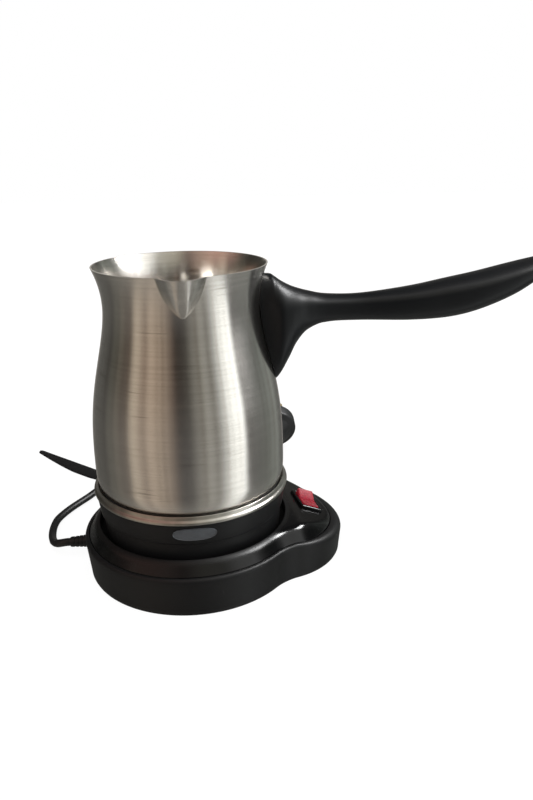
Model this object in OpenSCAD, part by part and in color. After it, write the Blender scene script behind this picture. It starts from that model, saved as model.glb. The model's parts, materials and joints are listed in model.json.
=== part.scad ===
// Electric Turkish coffee maker: a flared steel jug with a side handle that
// stands on a round power base with a switch lobe, a mains lead and a plug.
// Origin on the table under the jug's axis, +X along the handle, +Z up.

/* [Jug] */
// Outer radius of the jug at its rim
rim_r = 43.5; // [42:0.5:46]
// Height of the rim above the table
rim_z = 165; // [160:1:175]
// Outer radius of the jug at its waist
waist_r = 39.4; // [37:0.2:41]
// Distance from the waist up to the rim
flare_h = 19; // [16:0.5:24]
// Outer radius of the jug at its belly
belly_r = 50.4; // [49.5:0.1:51]
// Height of the widest ring of the belly above the jug's floor
belly_h = 10; // [6:0.5:14]
// How high on the side the belly starts to draw in, 1 is even
shoulder_power = 1.5; // [1.2:0.05:1.8]
// Height of the underside of the steel floor above the table
floor_z = 49.8; // [48:0.2:52]
// Thickness of the steel sheet
steel_t = 0.8; // [0.6:0.1:1.2]
// Radius of the flat part of the floor
floor_r = 47.4; // [45:0.2:48.5]

/* [Spout] */
// Width of the spout where it leaves the rim
spout_w = 26; // [20:1:32]
// How far the lip stands out past the rim
spout_reach = 7.6; // [5:0.2:10]
// Width of the blunt lip
lip_w = 10; // [6:0.5:14]
// Height of the spout below the rim
spout_h = 19; // [15:0.5:26]
// Thickness of the spout's sheet
spout_t = 0.8; // [0.6:0.1:1.2]

/* [Jug foot] */
// Outer radius of the bright trim ring
ring_r = 52.5; // [52:0.1:54]
// Height of the trim ring
ring_h = 2.6; // [2:0.1:3.5]
// Outer radius of the skirt under the ring
skirt_r = 51.4; // [51:0.1:51.8]
// Outer radius of the skirt at its step
skirt_step_r = 49.9; // [49.6:0.1:50.4]
// Height of the step above the skirt's underside
skirt_step_h = 12.2; // [10:0.2:14]
// Outer radius of the skirt's foot
skirt_foot_r = 48.3; // [47.5:0.1:48.8]
// Wall of the skirt
skirt_t = 2.2; // [1.8:0.1:2.6]
// Width of the blank name plate
plate_w = 22; // [16:1:28]
// Height of the blank name plate
plate_h = 7; // [5:0.5:8]
// How far the name plate stands out
plate_t = 0.6; // [0.4:0.1:1]
// Radius of the aluminium heat spreader
spreader_r = 43; // [42.5:0.1:44]
// Thickness of the heat spreader
spreader_t = 3; // [2:0.2:4]
// Radius of the heating element's bend
element_r = 29; // [27:0.5:30]
// Diameter of the heating element's tube
element_d = 6.5; // [6:0.1:7]
// Angle that the element goes round
element_turn = 300; // [270:5:320]
// Radius of the circle of the skirt's posts
post_ring_r = 38.4; // [37.5:0.1:38.8]
// Diameter of a skirt post
post_d = 7; // [6:0.2:8]
// Diameter of the skirt's screws
skirt_screw_d = 3.5; // [3:0.1:4]

/* [Handle] */
// Reach of the handle's tip from the jug's axis
handle_reach = 200; // [190:1:215]
// Width of the grip at its widest
grip_w = 25; // [20:0.5:30]
// Width of the neck of the handle
neck_w = 15; // [12:0.5:18]
// Width of the handle's shield on the jug
shield_w = 27; // [22:0.5:30]
// Thickness of the welded bracket
bracket_t = 1.5; // [1:0.1:2]
// Width of the bracket's tongue
tongue_w = 9; // [7:0.5:10]
// Reach of the tongue from the jug's axis
tongue_reach = 76; // [72:1:80]
// Height of the tongue above the table
tongue_z = 139; // [138:0.5:140]
// Distance of the handle screw from the jug's axis
handle_screw_x = 70; // [68:0.5:71]
// Diameter of the handle screw
handle_screw_d = 4; // [3:0.5:4.5]

/* [Base] */
// Radius of the round part of the base on the table
base_r = 58; // [57:0.5:60]
// Radius of the switch lobe on the table
lobe_r = 40.3; // [38:0.5:42]
// Distance of the lobe's centre from the jug's axis
lobe_x = 43.5; // [40:0.5:46]
// Radius of the blend between the base and its lobe
blend_r = 32; // [28:1:40]
// Angle of the lobe from the handle
lobe_angle = 7.5; // [0:0.5:15]
// How far the side wall leans out at its top
wall_lean = 1.8; // [1:0.1:2.4]
// Height of the side wall
wall_h = 21.5; // [20.5:0.5:22.5]
// Thickness of the side wall
wall_t = 2.4; // [2:0.1:3]
// Height of the deck round the jug
deck_z = 28; // [27:0.2:29]
// Thickness of the deck
deck_t = 2.4; // [2:0.1:3]
// Radius of the well that the jug stands in
well_r = 51.2; // [50.6:0.1:51.6]
// Height of the well's floor
well_z = 22.5; // [22:0.1:23]
// Fall of the lobe's top for each millimetre outwards
lobe_fall = 0.42; // [0.35:0.01:0.45]
// Distance from the axis where the lobe's top starts to fall
fall_x = 54; // [53:0.5:56]
// Fall of the side wall's top edge along the lobe
wall_fall = 0.2; // [0.15:0.01:0.22]
// Thickness of the bottom plate
plate_base_t = 2; // [1.6:0.1:2.4]
// Height of the bottom plate above the table
plate_base_z = 1.2; // [0.8:0.1:1.6]
// Diameter of a rubber foot
foot_d = 11; // [9:0.5:12]
// Diameter of the base's screws
base_screw_d = 3; // [2.5:0.1:3.5]
// Diameter of a screw boss
boss_d = 7; // [6.4:0.2:8]

/* [Connector] */
// Radius of the base connector's tower
tower_r = 15; // [14:0.2:15.4]
// Height of the tower's top above the table
tower_z = 31; // [30:0.2:31.6]
// Running gap round the tower
tower_gap = 0.6; // [0.5:0.1:1]
// Mean radius of the ring contact
contact_r = 12; // [11.6:0.1:12.2]
// Thickness of the ring contact
contact_t = 0.8; // [0.6:0.1:1]
// Radius of the centre contact pin
pin_r = 2.4; // [2:0.1:2.8]

/* [Switch] */
// Distance of the switch from the jug's axis
switch_x = 66; // [65:0.5:67]
// Width of the switch bezel along the lobe
bezel_w = 14; // [13.5:0.5:15]
// Length of the switch bezel across the lobe
bezel_l = 21; // [20.5:0.5:22]
// Width of the red rocker
rocker_w = 9.8; // [9:0.1:10]
// Length of the red rocker
rocker_l = 16; // [15.2:0.1:16.2]
// Tilt of the rocker to either side
rocker_tilt = 10; // [8:0.5:10]

/* [Lead] */
// Diameter of the mains lead
cord_d = 4.5; // [4:0.1:4.6]
// Diameter of the round plug's face
plug_d = 37; // [35:0.5:38]
// Distance between the plug's pins
plug_pin_gap = 19; // [18.6:0.1:19.4]
// Width of the fabric strap
strap_w = 12; // [10:0.5:14]
// Thickness of the fabric strap
strap_t = 1.2; // [0.9:0.1:1.4]

/* [Hidden] */
$fn = 96;

eps = 0.02;         // overlap of cuts with the faces that they open
seat_gap = 0.3;     // gap between the jug and the base that it lifts off
touch_gap = 0.15;   // gap between curved faces of neighbours in one body
thread_gap = 0.1;   // gap round a screw in its hole

// ---- jug profile -------------------------------------------------------
waist_z = rim_z - flare_h;
belly_z = floor_z + belly_h;
corner_n = 4;
side_n = 12;
flare_n = 6;

// outer radius of the jug at a height above the belly
function side_r(z) =
    z > waist_z
    ? waist_r + (rim_r - waist_r) * pow((z - waist_z) / flare_h, 2)
    : let (u = pow(max(0, (z - belly_z) / (waist_z - belly_z)), shoulder_power))
      belly_r - (belly_r - waist_r) * u * u * (3 - 2 * u);

// outer half outline from the floor's edge to the rim, moved in by g
function jug_side(g) = concat(
    [for (i = [0:corner_n]) let (a = 90 * i / corner_n)
        [floor_r - g + (belly_r - floor_r) * sin(a), floor_z + g + (belly_h - g) * (1 - cos(a))]],
    [for (i = [1:side_n]) let (z = belly_z + (waist_z - belly_z) * i / side_n) [side_r(z) - g, z]],
    [for (i = [1:flare_n]) let (z = waist_z + flare_h * i / flare_n) [side_r(z) - g, z]]);

module jug_solid(g, top = 0) {
    side = jug_side(g);
    rotate_extrude()
        polygon(concat([[0, floor_z + g]], side,
            [[rim_r - g, rim_z + top], [0, rim_z + top]]));
}

// the space that the spout holds, g is the sheet left off all round
module spout_space(g) {
    hull() {
        translate([-lip_w / 2 + g, -rim_r - spout_reach + g, rim_z - 1])
            cube([lip_w - 2 * g, 0.1, 1 + (g > 0 ? eps : 0)]);
        translate([-spout_w / 2 + g * 1.4, -rim_r + 4, rim_z - 1])
            cube([spout_w - 2.8 * g, 0.1, 1 + (g > 0 ? eps : 0)]);
        translate([-1.5 + g / 2, -waist_r + 1, rim_z - spout_h + 1.6 * g])
            cube([3 - g, 0.1, 0.5]);
        translate([-1.5 + g / 2, -waist_r - 0.6 + 1.5 * g, rim_z - spout_h + 2 + 1.6 * g])
            cube([3 - g, 0.1, 0.5]);
    }
}

module jug_body() {
    color("silver") difference() {
        jug_solid(0);
        jug_solid(steel_t, eps);
        spout_space(spout_t);
    }
}

module pour_spout() {
    color("gainsboro") difference() {
        spout_space(0);
        spout_space(spout_t);
        jug_solid(0, 1);
    }
}

// ---- jug foot ----------------------------------------------------------
foot_z = well_z + seat_gap;              // underside of the skirt
ring_z = floor_z - ring_h - 0.6;         // underside of the trim ring
spreader_z = floor_z - spreader_t;
element_z = spreader_z - element_d / 2;
cup_r = tower_r + tower_gap;             // inside of the jug's connector
cup_z = tower_z + tower_gap;
cup_t = 1.8;
cup_flange_r = 22;
post_angles = [60, 180, 300];
skirt_head_d = 1.8 * skirt_screw_d;      // screw heads, sunk in the skirt's floor
skirt_head_h = 1.2;

module bottom_ring() {
    color("whitesmoke") rotate_extrude() difference() {
        union() {
            translate([floor_r + 1.2, ring_z]) square([ring_r - floor_r - 2, ring_h]);
            translate([ring_r - ring_h / 2, ring_z + ring_h / 2]) circle(d = ring_h);
        }
        // the jug's rounded corner sits in the ring
        translate([0, floor_z - 0.25]) square([belly_r, ring_h]);
    }
}

module jug_skirt() {
    step_z = foot_z + skirt_step_h;
    color([0.06, 0.06, 0.07]) difference() {
        rotate_extrude() polygon([
            [0, foot_z], [skirt_foot_r - 0.8, foot_z], [skirt_foot_r, foot_z + 0.8],
            [skirt_foot_r, step_z], [skirt_step_r, step_z + 0.8], [skirt_r, ring_z],
            [skirt_r - skirt_t, ring_z], [skirt_step_r - skirt_t, step_z + 0.8],
            [skirt_foot_r - skirt_t, step_z], [skirt_foot_r - skirt_t, foot_z + skirt_t],
            [0, foot_z + skirt_t]]);
        translate([0, 0, foot_z - eps]) cylinder(r = cup_r, h = skirt_t + 2 * eps);
        for (a = post_angles) rotate(a) translate([post_ring_r, 0, foot_z - eps]) {
            cylinder(d = skirt_screw_d + 2 * thread_gap, h = skirt_t + 2 * eps, $fn = 48);
            cylinder(d = skirt_head_d + 2 * touch_gap, h = skirt_head_h + 0.1, $fn = 48);
        }
    }
}

// a blank oval plate bent round the skirt, in front under the spout
module name_plate() {
    plate_z = ring_z - 1.4 - plate_h / 2;
    color("lightgrey") intersection() {
        difference() {
            rotate_extrude() polygon([
                [skirt_step_r - 3, foot_z + skirt_step_h + 0.8],
                [skirt_step_r + plate_t, foot_z + skirt_step_h + 0.8],
                [skirt_r + plate_t, ring_z - eps], [skirt_r - 3, ring_z - eps]]);
            rotate_extrude() polygon([
                [0, foot_z + skirt_step_h], [skirt_step_r + 0.02, foot_z + skirt_step_h + 0.8],
                [skirt_r + 0.02, ring_z], [0, ring_z]]);
        }
        translate([0, 0, plate_z]) rotate([90, 0, 0])
            linear_extrude(height = ring_r + 5)
                union() {
                    for (s = [-1, 1]) translate([s * (plate_w - plate_h) / 2, 0]) circle(d = plate_h);
                    square([plate_w - plate_h, plate_h], center = true);
                }
    }
}

module foot_gasket() {
    color("dimgray") difference() {
        translate([0, 0, ring_z]) cylinder(r = floor_r + 1.05, h = floor_z - ring_z - touch_gap / 2);
        translate([0, 0, ring_z - eps]) cylinder(r = spreader_r + 0.8, h = ring_h + 2);
    }
}

module heat_spreader() {
    color("lightsteelblue") translate([0, 0, spreader_z]) cylinder(r = spreader_r, h = spreader_t);
}

module heating_element() {
    color("slategray") translate([0, 0, element_z])
        rotate(element_gap_a)
            rotate_extrude(angle = element_turn)
                translate([element_r, 0]) circle(d = element_d, $fn = 48);
}

element_gap_a = (360 - element_turn) / 2;    // half the open angle of the element
element_pin_l = 4;
element_ball_d = 3.4;

module element_pins() {
    color("silver") for (s = [-1, 1])
        rotate(s * element_gap_a) translate([element_r, 0, element_z])
            rotate([90 * s, 0, 0]) {
                cylinder(d = 2.4, h = element_pin_l, $fn = 32);
                translate([0, 0, element_pin_l]) sphere(d = element_ball_d, $fn = 32);
            }
}

module skirt_posts() {
    post_z = foot_z + skirt_t;
    color("silver") for (a = post_angles) rotate(a) translate([post_ring_r, 0, 0])
        difference() {
            translate([0, 0, post_z]) cylinder(d = post_d, h = spreader_z - post_z, $fn = 48);
            translate([0, 0, post_z - eps])
                cylinder(d = skirt_screw_d + 2 * thread_gap, h = 11, $fn = 48);
        }
}

module skirt_screws() {
    head_z = foot_z + 0.08;
    color("gray") for (a = post_angles) rotate(a) translate([post_ring_r, 0, head_z]) {
        difference() {
            cylinder(d = skirt_head_d, h = skirt_head_h, $fn = 48);
            for (turn = [0, 90]) rotate(turn) translate([-1.6, -0.35, -eps]) cube([3.2, 0.7, 0.7]);
        }
        translate([0, 0, skirt_head_h - eps]) cylinder(d = skirt_screw_d, h = 11, $fn = 48);
    }
}

// bimetal cut-out on a spring saddle under the spreader
module boil_dry_cutout() {
    color("white") translate([0, 0, spreader_z]) mirror([0, 0, 1]) {
        cylinder(r = 8, h = 4.5);
        translate([0, 0, 4.5]) cylinder(r = 6, h = 1.5);
        for (s = [-1, 1]) translate([s * 4 - 1.5, -0.4, 6]) cube([3, 0.8, 3.4]);
    }
}

module thermal_fuse() {
    color("tan") translate([-13.5, -16.2, spreader_z - 2.2]) rotate([0, 90, 35]) {
        cylinder(r = 2, h = 10, $fn = 32);
        translate([0, 0, -3]) cylinder(r = 0.5, h = 16, $fn = 24);
    }
}

// the jug's half of the turning connector: a cup that drops over the tower
module jug_connector() {
    cup_base = foot_z + skirt_t;
    color([0.85, 0.83, 0.78]) difference() {
        union() {
            translate([0, 0, cup_base]) cylinder(r = cup_flange_r, h = 1.8);
            translate([0, 0, cup_base]) cylinder(r = cup_r + cup_t, h = cup_z + cup_t - cup_base);
        }
        translate([0, 0, cup_base - eps]) cylinder(r = cup_r, h = cup_z - cup_base + eps);
    }
}

module jug_leads() {
    // from the element's cold pins to the connector's terminals
    color("ivory") for (s = [-1, 1])
        tube_along([for (p = lead_route) [p[0], s * p[1], p[2]]], 2.2, 8);
}

// ---- handle ------------------------------------------------------------
// stations along the handle: distance from the axis, underside, top, width
grip_stations = [
    [35, 101, 158.5, shield_w * 0.55], [44, 101, 158.5, shield_w * 0.85],
    [47, 103, 157, shield_w * 0.95], [50, 107, 154.8, shield_w],
    [54, 114.5, 152.5, shield_w * 0.95], [58, 122.5, 150.8, shield_w * 0.86],
    [64, 129, 149, shield_w * 0.72], [74, 132.4, 147, neck_w * 1.08],
    [92, 132.6, 146.6, neck_w], [118, 131.6, 149.2, neck_w + (grip_w - neck_w) * 0.5],
    [139, 132.4, 152.8, grip_w * 0.94], [155, 135.8, 155.6, grip_w],
    [172, 142.4, 159.2, grip_w * 0.96], [185, 150, 161.8, grip_w * 0.8],
    [handle_reach - 5, 156.2, 163.4, grip_w * 0.55], [handle_reach, 160, 163, grip_w * 0.2]];
ridge_share = 0.62;    // height of the side ridge in the section
grip_steps = 2;        // sections between two stations
grip_sides = 20;

// value k of the smooth line through four neighbouring stations
function blend4(a, b, c, d, t) =
    b + t / 2 * (c - a + t * (2 * a - 5 * b + 4 * c - d + t * (3 * (b - c) + d - a)));

function grip_section(q) = [for (i = [0:grip_sides - 1])
    let (a = 360 * i / grip_sides,
         ridge = q[1] + (q[2] - q[1]) * ridge_share,
         rise = sin(a) > 0 ? q[2] - ridge : ridge - q[1],
         pinch = sin(a) > 0 ? 1 : 0.9)
    [q[0], q[3] / 2 * sign(cos(a)) * pow(abs(cos(a)), pinch),
     ridge + rise * sign(sin(a)) * pow(abs(sin(a)), 0.85)]];

function grip_sections() = let (n = len(grip_stations)) concat(
    [for (i = [0:n - 2], k = [0:grip_steps - 1])
        let (t = k / grip_steps,
             a = grip_stations[max(0, i - 1)], b = grip_stations[i],
             c = grip_stations[i + 1], d = grip_stations[min(n - 1, i + 2)])
        grip_section([for (j = [0:3]) blend4(a[j], b[j], c[j], d[j], t)])],
    [grip_section(grip_stations[n - 1])]);

module skin(rings) {
    m = len(rings[0]);
    n = len(rings);
    points = [for (r = rings, p = r) p];
    sides = [for (i = [0:n - 2], j = [0:m - 1])
        let (k = (j + 1) % m)
        each [[i * m + j, (i + 1) * m + j, (i + 1) * m + k], [i * m + j, (i + 1) * m + k, i * m + k]]];
    ends = [[for (j = [0:m - 1]) j], [for (j = [0:m - 1]) (n - 1) * m + m - 1 - j]];
    polyhedron(points, concat(sides, ends), convexity = 6);
}

bracket_z0 = 118;      // lowest and highest part of the welded bracket
bracket_z1 = 152;
bracket_half = 9;      // half the bracket's angle round the jug
screw_seat_z = tongue_z - 3.1;   // where the handle screw's head bears, sunk from below

// the part of the jug's side that the bracket takes up, g larger all round
module bracket_zone(g) {
    rotate(-bracket_half - g) rotate_extrude(angle = 2 * (bracket_half + g))
        translate([waist_r / 2, bracket_z0 - g]) square([belly_r, bracket_z1 - bracket_z0 + 2 * g]);
}

module bracket_pad() {
    intersection() {
        difference() {
            jug_solid(-bracket_t);
            jug_solid(0);
        }
        bracket_zone(0);
    }
}

module bracket_tongue(g) {
    translate([side_r(tongue_z) + 0.6, -tongue_w / 2 - g, tongue_z - g])
        cube([tongue_reach - side_r(tongue_z) - 0.6 + g, tongue_w + 2 * g, 2 + 2 * g]);
}

module handle_bracket() {
    color("lightgray") difference() {
        union() {
            bracket_pad();
            bracket_tongue(0);
        }
        translate([handle_screw_x, 0, tongue_z - 1])
            cylinder(d = handle_screw_d + 2 * thread_gap, h = 4, $fn = 48);
    }
}

module handle_grip() {
    color([0.07, 0.07, 0.08]) difference() {
        skin(grip_sections());
        jug_solid(-touch_gap, 20);
        intersection() {
            jug_solid(-bracket_t - touch_gap, 20);
            bracket_zone(2 * touch_gap);
        }
        bracket_tongue(touch_gap);
        translate([handle_screw_x, 0, screw_seat_z - 16]) {
            cylinder(d = handle_screw_d + 2 * thread_gap, h = 26, $fn = 48);
            cylinder(d = 2 * handle_screw_d, h = 16, $fn = 48);
        }
    }
}

module handle_screw() {
    head_h = 2.2;
    color("gray") translate([handle_screw_x, 0, screw_seat_z - head_h]) {
        difference() {
            cylinder(d = 1.8 * handle_screw_d, h = head_h, $fn = 48);
            // cross recess
            for (a = [0, 90]) rotate(a) translate([-2, -0.4, -eps]) cube([4, 0.8, 1.2]);
        }
        translate([0, 0, head_h - eps]) cylinder(d = handle_screw_d, h = 9, $fn = 48);
    }
}

// ---- turning contacts --------------------------------------------------
module jug_contacts() {
    contact_top = cup_z - seat_gap;
    ring_foot = slot_z + 2;
    color("goldenrod") {
        rotate_extrude() translate([contact_r - contact_t / 2, ring_foot])
            square([contact_t, contact_top - ring_foot]);
        translate([0, 0, slot_z]) cylinder(r = pin_r, h = contact_top - slot_z);
        translate([0, 0, slot_z]) sphere(r = pin_r, $fn = 48);
    }
}

// ---- base --------------------------------------------------------------
blend_near = base_r + blend_r;
blend_far = lobe_r + blend_r;
blend_x = (blend_near * blend_near - blend_far * blend_far + lobe_x * lobe_x) / (2 * lobe_x);
blend_y = sqrt(blend_near * blend_near - blend_x * blend_x);
blend_from = 180 - atan2(blend_y, blend_x);
blend_to = atan2(blend_y, lobe_x - blend_x);
base_n = 54;
lobe_n = 30;
blend_n = 6;

function arc_points(centre, r, a0, a1, n) =
    [for (i = [0:n - 1]) let (a = a0 + (a1 - a0) * i / n) centre + r * [cos(a), sin(a)]];

// outline of the base, moved out by g, with its lobe along +X
function base_outline(g) = concat(
    arc_points([0, 0], base_r + g, 180 - blend_from, 180 + blend_from, base_n),
    arc_points([blend_x, -blend_y], blend_r - g, blend_from, blend_to, blend_n),
    arc_points([lobe_x, 0], lobe_r + g, blend_to - 180, 180 - blend_to, lobe_n),
    arc_points([blend_x, blend_y], blend_r - g, -blend_to, -blend_from, blend_n));

// solid with the base's outline: each level is its height and how far it is moved out
module base_solid(levels) {
    rotate(lobe_angle)
        skin([for (level = levels) [for (p = base_outline(level[1])) [p[0], p[1], level[0]]]]);
}

// everything under a top that falls away along the lobe
module under_fall(z, x, fall) {
    far = 120;
    rotate(lobe_angle) translate([0, far, 0]) rotate([90, 0, 0])
        linear_extrude(height = 2 * far)
            polygon([[-far, -5], [far, -5], [far, z - fall * (far - x)], [x, z], [-far, z]]);
}

module under_wall_top() {
    under_fall(wall_h, lobe_x + 4.5, wall_fall);
}

module under_deck_top(g = 0) {
    under_fall(deck_z + g, fall_x, lobe_fall);
}

shoulder_z = wall_h - 2;
lean_at = wall_lean / shoulder_z;    // lean for each millimetre of height
ledge_w = 0.6;                       // ledge in the wall that the bottom plate lies against
exit_z = 7.4;                        // height of the lead's way out
exit_y = 10;
exit_x = -sqrt(pow(base_r + lean_at * exit_z, 2) - exit_y * exit_y);
relief_d = 7.6;
collar_d = relief_d + 2.4;             // collar that holds the relief inside the wall
collar_in = 5.2;                       // where the collar starts, from the wall's face
collar_l = 2;
relief_out = 13;                       // free length of the strain relief
relief_tip = cord_d + 1.1;
relief_in = exit_x + 10;
jacket_end = relief_in + 15;
clamp_x = jacket_end - 6;
clamp_reach = 6;                       // distance of a clamp screw from the lead
clamp_t = 2.4;
clamp_z = exit_z + cord_d / 2 + 0.05;  // underside of the clamp bar
foot_sink = 0.8;        // how deep a foot sits in the bottom plate
boss_in = 8.5;          // distance of a screw boss from the base's outline
lobe_boss_in = 7.4;
boss_places = [for (s = [1, -1]) each [
    (base_r - boss_in) * [cos(136.6), s * sin(136.6)],
    [lobe_x, 0] + (lobe_r - lobe_boss_in) * [cos(46.8), s * sin(46.8)]]];
foot_in = 11.4;         // distance of a rubber foot from the base's outline
lobe_foot_in = 17.8;
foot_places = concat([for (a = [195, 112.7, -62.4]) (base_r - foot_in) * [cos(a), sin(a)]],
    [[lobe_x + lobe_r - lobe_foot_in, -4]]);
base_screw_l = 9.5;
small_screw_d = 2.5;

module base_body() {
    color([0.1, 0.1, 0.11]) difference() {
        intersection() {
            base_solid([[0, 0], [shoulder_z, wall_lean], [2 * wall_h - shoulder_z, -wall_lean]]);
            under_wall_top();
        }
        base_solid([[-1, -wall_t], [plate_base_z + plate_base_t, -wall_t],
            [plate_base_z + plate_base_t + eps, -wall_t - ledge_w], [wall_h + 1, -wall_t - ledge_w]]);
        translate([exit_x - 4, exit_y, exit_z]) rotate([0, 90, 0])
            cylinder(d = relief_d + 0.1, h = 12);
        // room for the cup of the well
        translate([0, 0, well_z - deck_t - touch_gap])
            cylinder(r = well_r + deck_t + touch_gap, h = wall_h);
    }
}

module well_floor_cut() {
    translate([0, 0, well_z]) cylinder(r1 = well_r - 0.3, r2 = well_r + 0.3, h = 20);
}

switch_z = deck_z - lobe_fall * (switch_x - fall_x);
switch_slope = atan(lobe_fall);
housing_w = bezel_w - 1.6;
housing_l = bezel_l - 2.2;
housing_wall = 0.8;
housing_h = 11;
bezel_h = 1.6;

module at_switch() {
    rotate(lobe_angle) translate([switch_x, 0, switch_z]) rotate([0, switch_slope, 0]) children();
}

module boss_places_up() {
    rotate(lobe_angle) for (p = boss_places) translate(p) children();
}

// posts under the deck that take the base's screws
module deck_bosses() {
    boss_places_up() translate([0, 0, plate_base_z + plate_base_t])
        cylinder(d = boss_d, h = well_z - plate_base_z - plate_base_t, $fn = 48);
}

deck_in = 0.6;          // how far the deck stands in from the wall's top edge
deck_edge_in = 4.4;     // and its top edge
deck_wall = 2.6;        // sideways thickness of the deck's rim
edge_h = 1;             // height and width of the deck's bevelled edge
edge_in = 1.4;

module deck_hollow() {
    intersection() {
        base_solid([[-1, -deck_in - deck_wall], [wall_h + 0.5, -deck_in - deck_wall],
            [deck_z, -deck_edge_in - deck_wall]]);
        under_deck_top(-deck_t);
    }
}

module top_deck() {
    color([0.03, 0.03, 0.035]) difference() {
        intersection() {
            union() {
                difference() {
                    base_solid([[wall_h - 9, -deck_in], [wall_h + 0.2, -deck_in],
                        [deck_z - edge_h, -deck_edge_in],
                        [deck_z + edge_h, -deck_edge_in - 2 * edge_in]]);
                    under_wall_top();
                    deck_hollow();
                }
                // cup of the well
                translate([0, 0, well_z - deck_t])
                    cylinder(r = well_r + deck_t, h = deck_z - well_z + deck_t - 1.5);
                deck_bosses();
            }
            under_deck_top();
        }
        well_floor_cut();
        translate([0, 0, well_z - deck_t - 1]) cylinder(r = tower_r + 0.2, h = deck_t + 2);
        boss_places_up() translate([0, 0, plate_base_z])
            cylinder(d = base_screw_d + 2 * thread_gap, h = base_screw_l + 3, $fn = 48);
        at_switch() translate([-housing_w / 2 - 0.1, -housing_l / 2 - 0.1, -housing_h - 8])
            cube([housing_w + 0.2, housing_l + 0.2, housing_h + 12]);
        for (a = connector_angles) rotate(a)
            translate([flange_r - 2.6, 0, well_z - deck_t - eps])
                cylinder(d = small_screw_d + 2 * thread_gap, h = 1.8, $fn = 32);
    }
}

module bottom_plate() {
    plate_top = plate_base_z + plate_base_t;
    color([0.12, 0.12, 0.13]) difference() {
        union() {
            base_solid([[plate_base_z, -wall_t - 0.2], [plate_top, -wall_t - 0.2]]);
            clamp_posts();
        }
        boss_places_up() translate([0, 0, -1])
            cylinder(d = base_screw_d + 2 * thread_gap, h = 6, $fn = 48);
        boss_places_up() translate([0, 0, -1])
            cylinder(d = 2 * base_screw_d + 0.4, h = 1 + plate_base_z + 1.1, $fn = 48);
        rotate(lobe_angle) for (p = foot_places) translate([p[0], p[1], -1])
            cylinder(d = foot_d + 2 * touch_gap, h = 1 + plate_base_z + foot_sink, $fn = 64);
        translate([exit_x - 2, exit_y, exit_z]) rotate([0, 90, 0])
            cylinder(d = collar_d + 2 * touch_gap, h = 12);
    }
}

// two posts and a ridge that carry the lead's clamp
module clamp_posts() {
    plate_top = plate_base_z + plate_base_t;
    for (s = [-1, 1]) translate([clamp_x, exit_y + s * clamp_reach, plate_top - eps]) difference() {
        cylinder(d = 6, h = clamp_z - plate_top + eps, $fn = 48);
        translate([0, 0, 1]) cylinder(d = small_screw_d + 2 * thread_gap, h = 12, $fn = 32);
    }
    translate([clamp_x - 1.5, exit_y - clamp_reach, plate_top - eps])
        cube([3, 2 * clamp_reach, exit_z - cord_d / 2 - plate_top - 0.03]);
}

module rubber_feet() {
    color("dimgray") rotate(lobe_angle) for (p = foot_places) translate([p[0], p[1], 0])
        difference() {
            cylinder(d = foot_d, h = plate_base_z + foot_sink, $fn = 64);
            translate([0, 0, -eps]) cylinder(d = foot_d / 3, h = 0.5, $fn = 48);
        }
}

module base_screws() {
    head_z = plate_base_z + 1.1;
    color("gray") boss_places_up() {
        difference() {
            translate([0, 0, head_z - 1.6]) cylinder(d = 2 * base_screw_d, h = 1.6, $fn = 48);
            for (a = [0, 90]) rotate(a) translate([-1.6, -0.35, head_z - 1.6 - eps]) cube([3.2, 0.7, 0.9]);
        }
        translate([0, 0, head_z - eps]) cylinder(d = base_screw_d, h = base_screw_l, $fn = 48);
    }
}

flange_r = 21;
connector_angles = [90, 210, 330];
slot_gap = 0.9;    // free width each side of the ring contact in its slot
ring_wire_x = contact_r + 0.6;
wire_d = 2;

slot_r = contact_r + contact_t / 2 + slot_gap;         // outside of the ring slot
core_r = contact_r - contact_t / 2 - slot_gap;         // inside of the ring slot
slot_z = tower_z - 13;                                 // floor of the ring slot
bore_r = pin_r + 0.8;
bore_z = slot_z - 3.5;                                 // floor of the centre bore

module base_connector() {
    flange_z = well_z - deck_t;
    color([0.16, 0.16, 0.17]) difference() {
        union() {
            translate([0, 0, flange_z - 9]) cylinder(r = tower_r, h = tower_z - flange_z + 9);
            translate([0, 0, flange_z - 2.2]) cylinder(r = flange_r, h = 2.2);
        }
        // room for the ring contact and the core, and the centre bore
        translate([0, 0, slot_z]) cylinder(r = slot_r, h = tower_z - slot_z + 1);
        translate([0, 0, bore_z]) cylinder(r = bore_r, h = tower_z);
        // holes that the wires come up through
        for (x = [0, ring_wire_x]) translate([x, 0, flange_z - 10])
            cylinder(d = wire_d + 2 * touch_gap, h = slot_z - flange_z + 10 + eps, $fn = 32);
        for (a = connector_angles) rotate(a) translate([flange_r - 2.6, 0, flange_z - 3])
            cylinder(d = small_screw_d + 2 * thread_gap, h = 4, $fn = 32);
    }
}

// hub between the ring contact and the centre pin
module connector_core() {
    color([0.2, 0.2, 0.21]) translate([0, 0, slot_z]) difference() {
        cylinder(r = core_r, h = tower_z - slot_z);
        translate([0, 0, -1]) cylinder(r = bore_r, h = tower_z);
    }
}

module base_contacts() {
    liner = 0.4;
    color("darkgoldenrod") {
        // outer liner of the ring slot and the sleeve of the centre bore
        translate([0, 0, slot_z]) difference() {
            cylinder(r = slot_r - 0.05, h = 8);
            translate([0, 0, -1]) cylinder(r = slot_r - liner, h = 12);
        }
        translate([0, 0, bore_z + 0.1]) difference() {
            cylinder(r = bore_r - 0.05, h = 9);
            translate([0, 0, 1]) cylinder(r = bore_r - liner - 0.05, h = 12);
        }
    }
}

module connector_screws() {
    flange_z = well_z - deck_t;
    color("gray") for (a = connector_angles) rotate(a) translate([flange_r - 2.6, 0, 0]) {
        translate([0, 0, flange_z - 2.2 - 1.4]) cylinder(d = 4.6, h = 1.4, $fn = 48);
        translate([0, 0, flange_z - 2.2 - eps]) cylinder(d = small_screw_d, h = 3.7, $fn = 32);
    }
}

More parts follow.
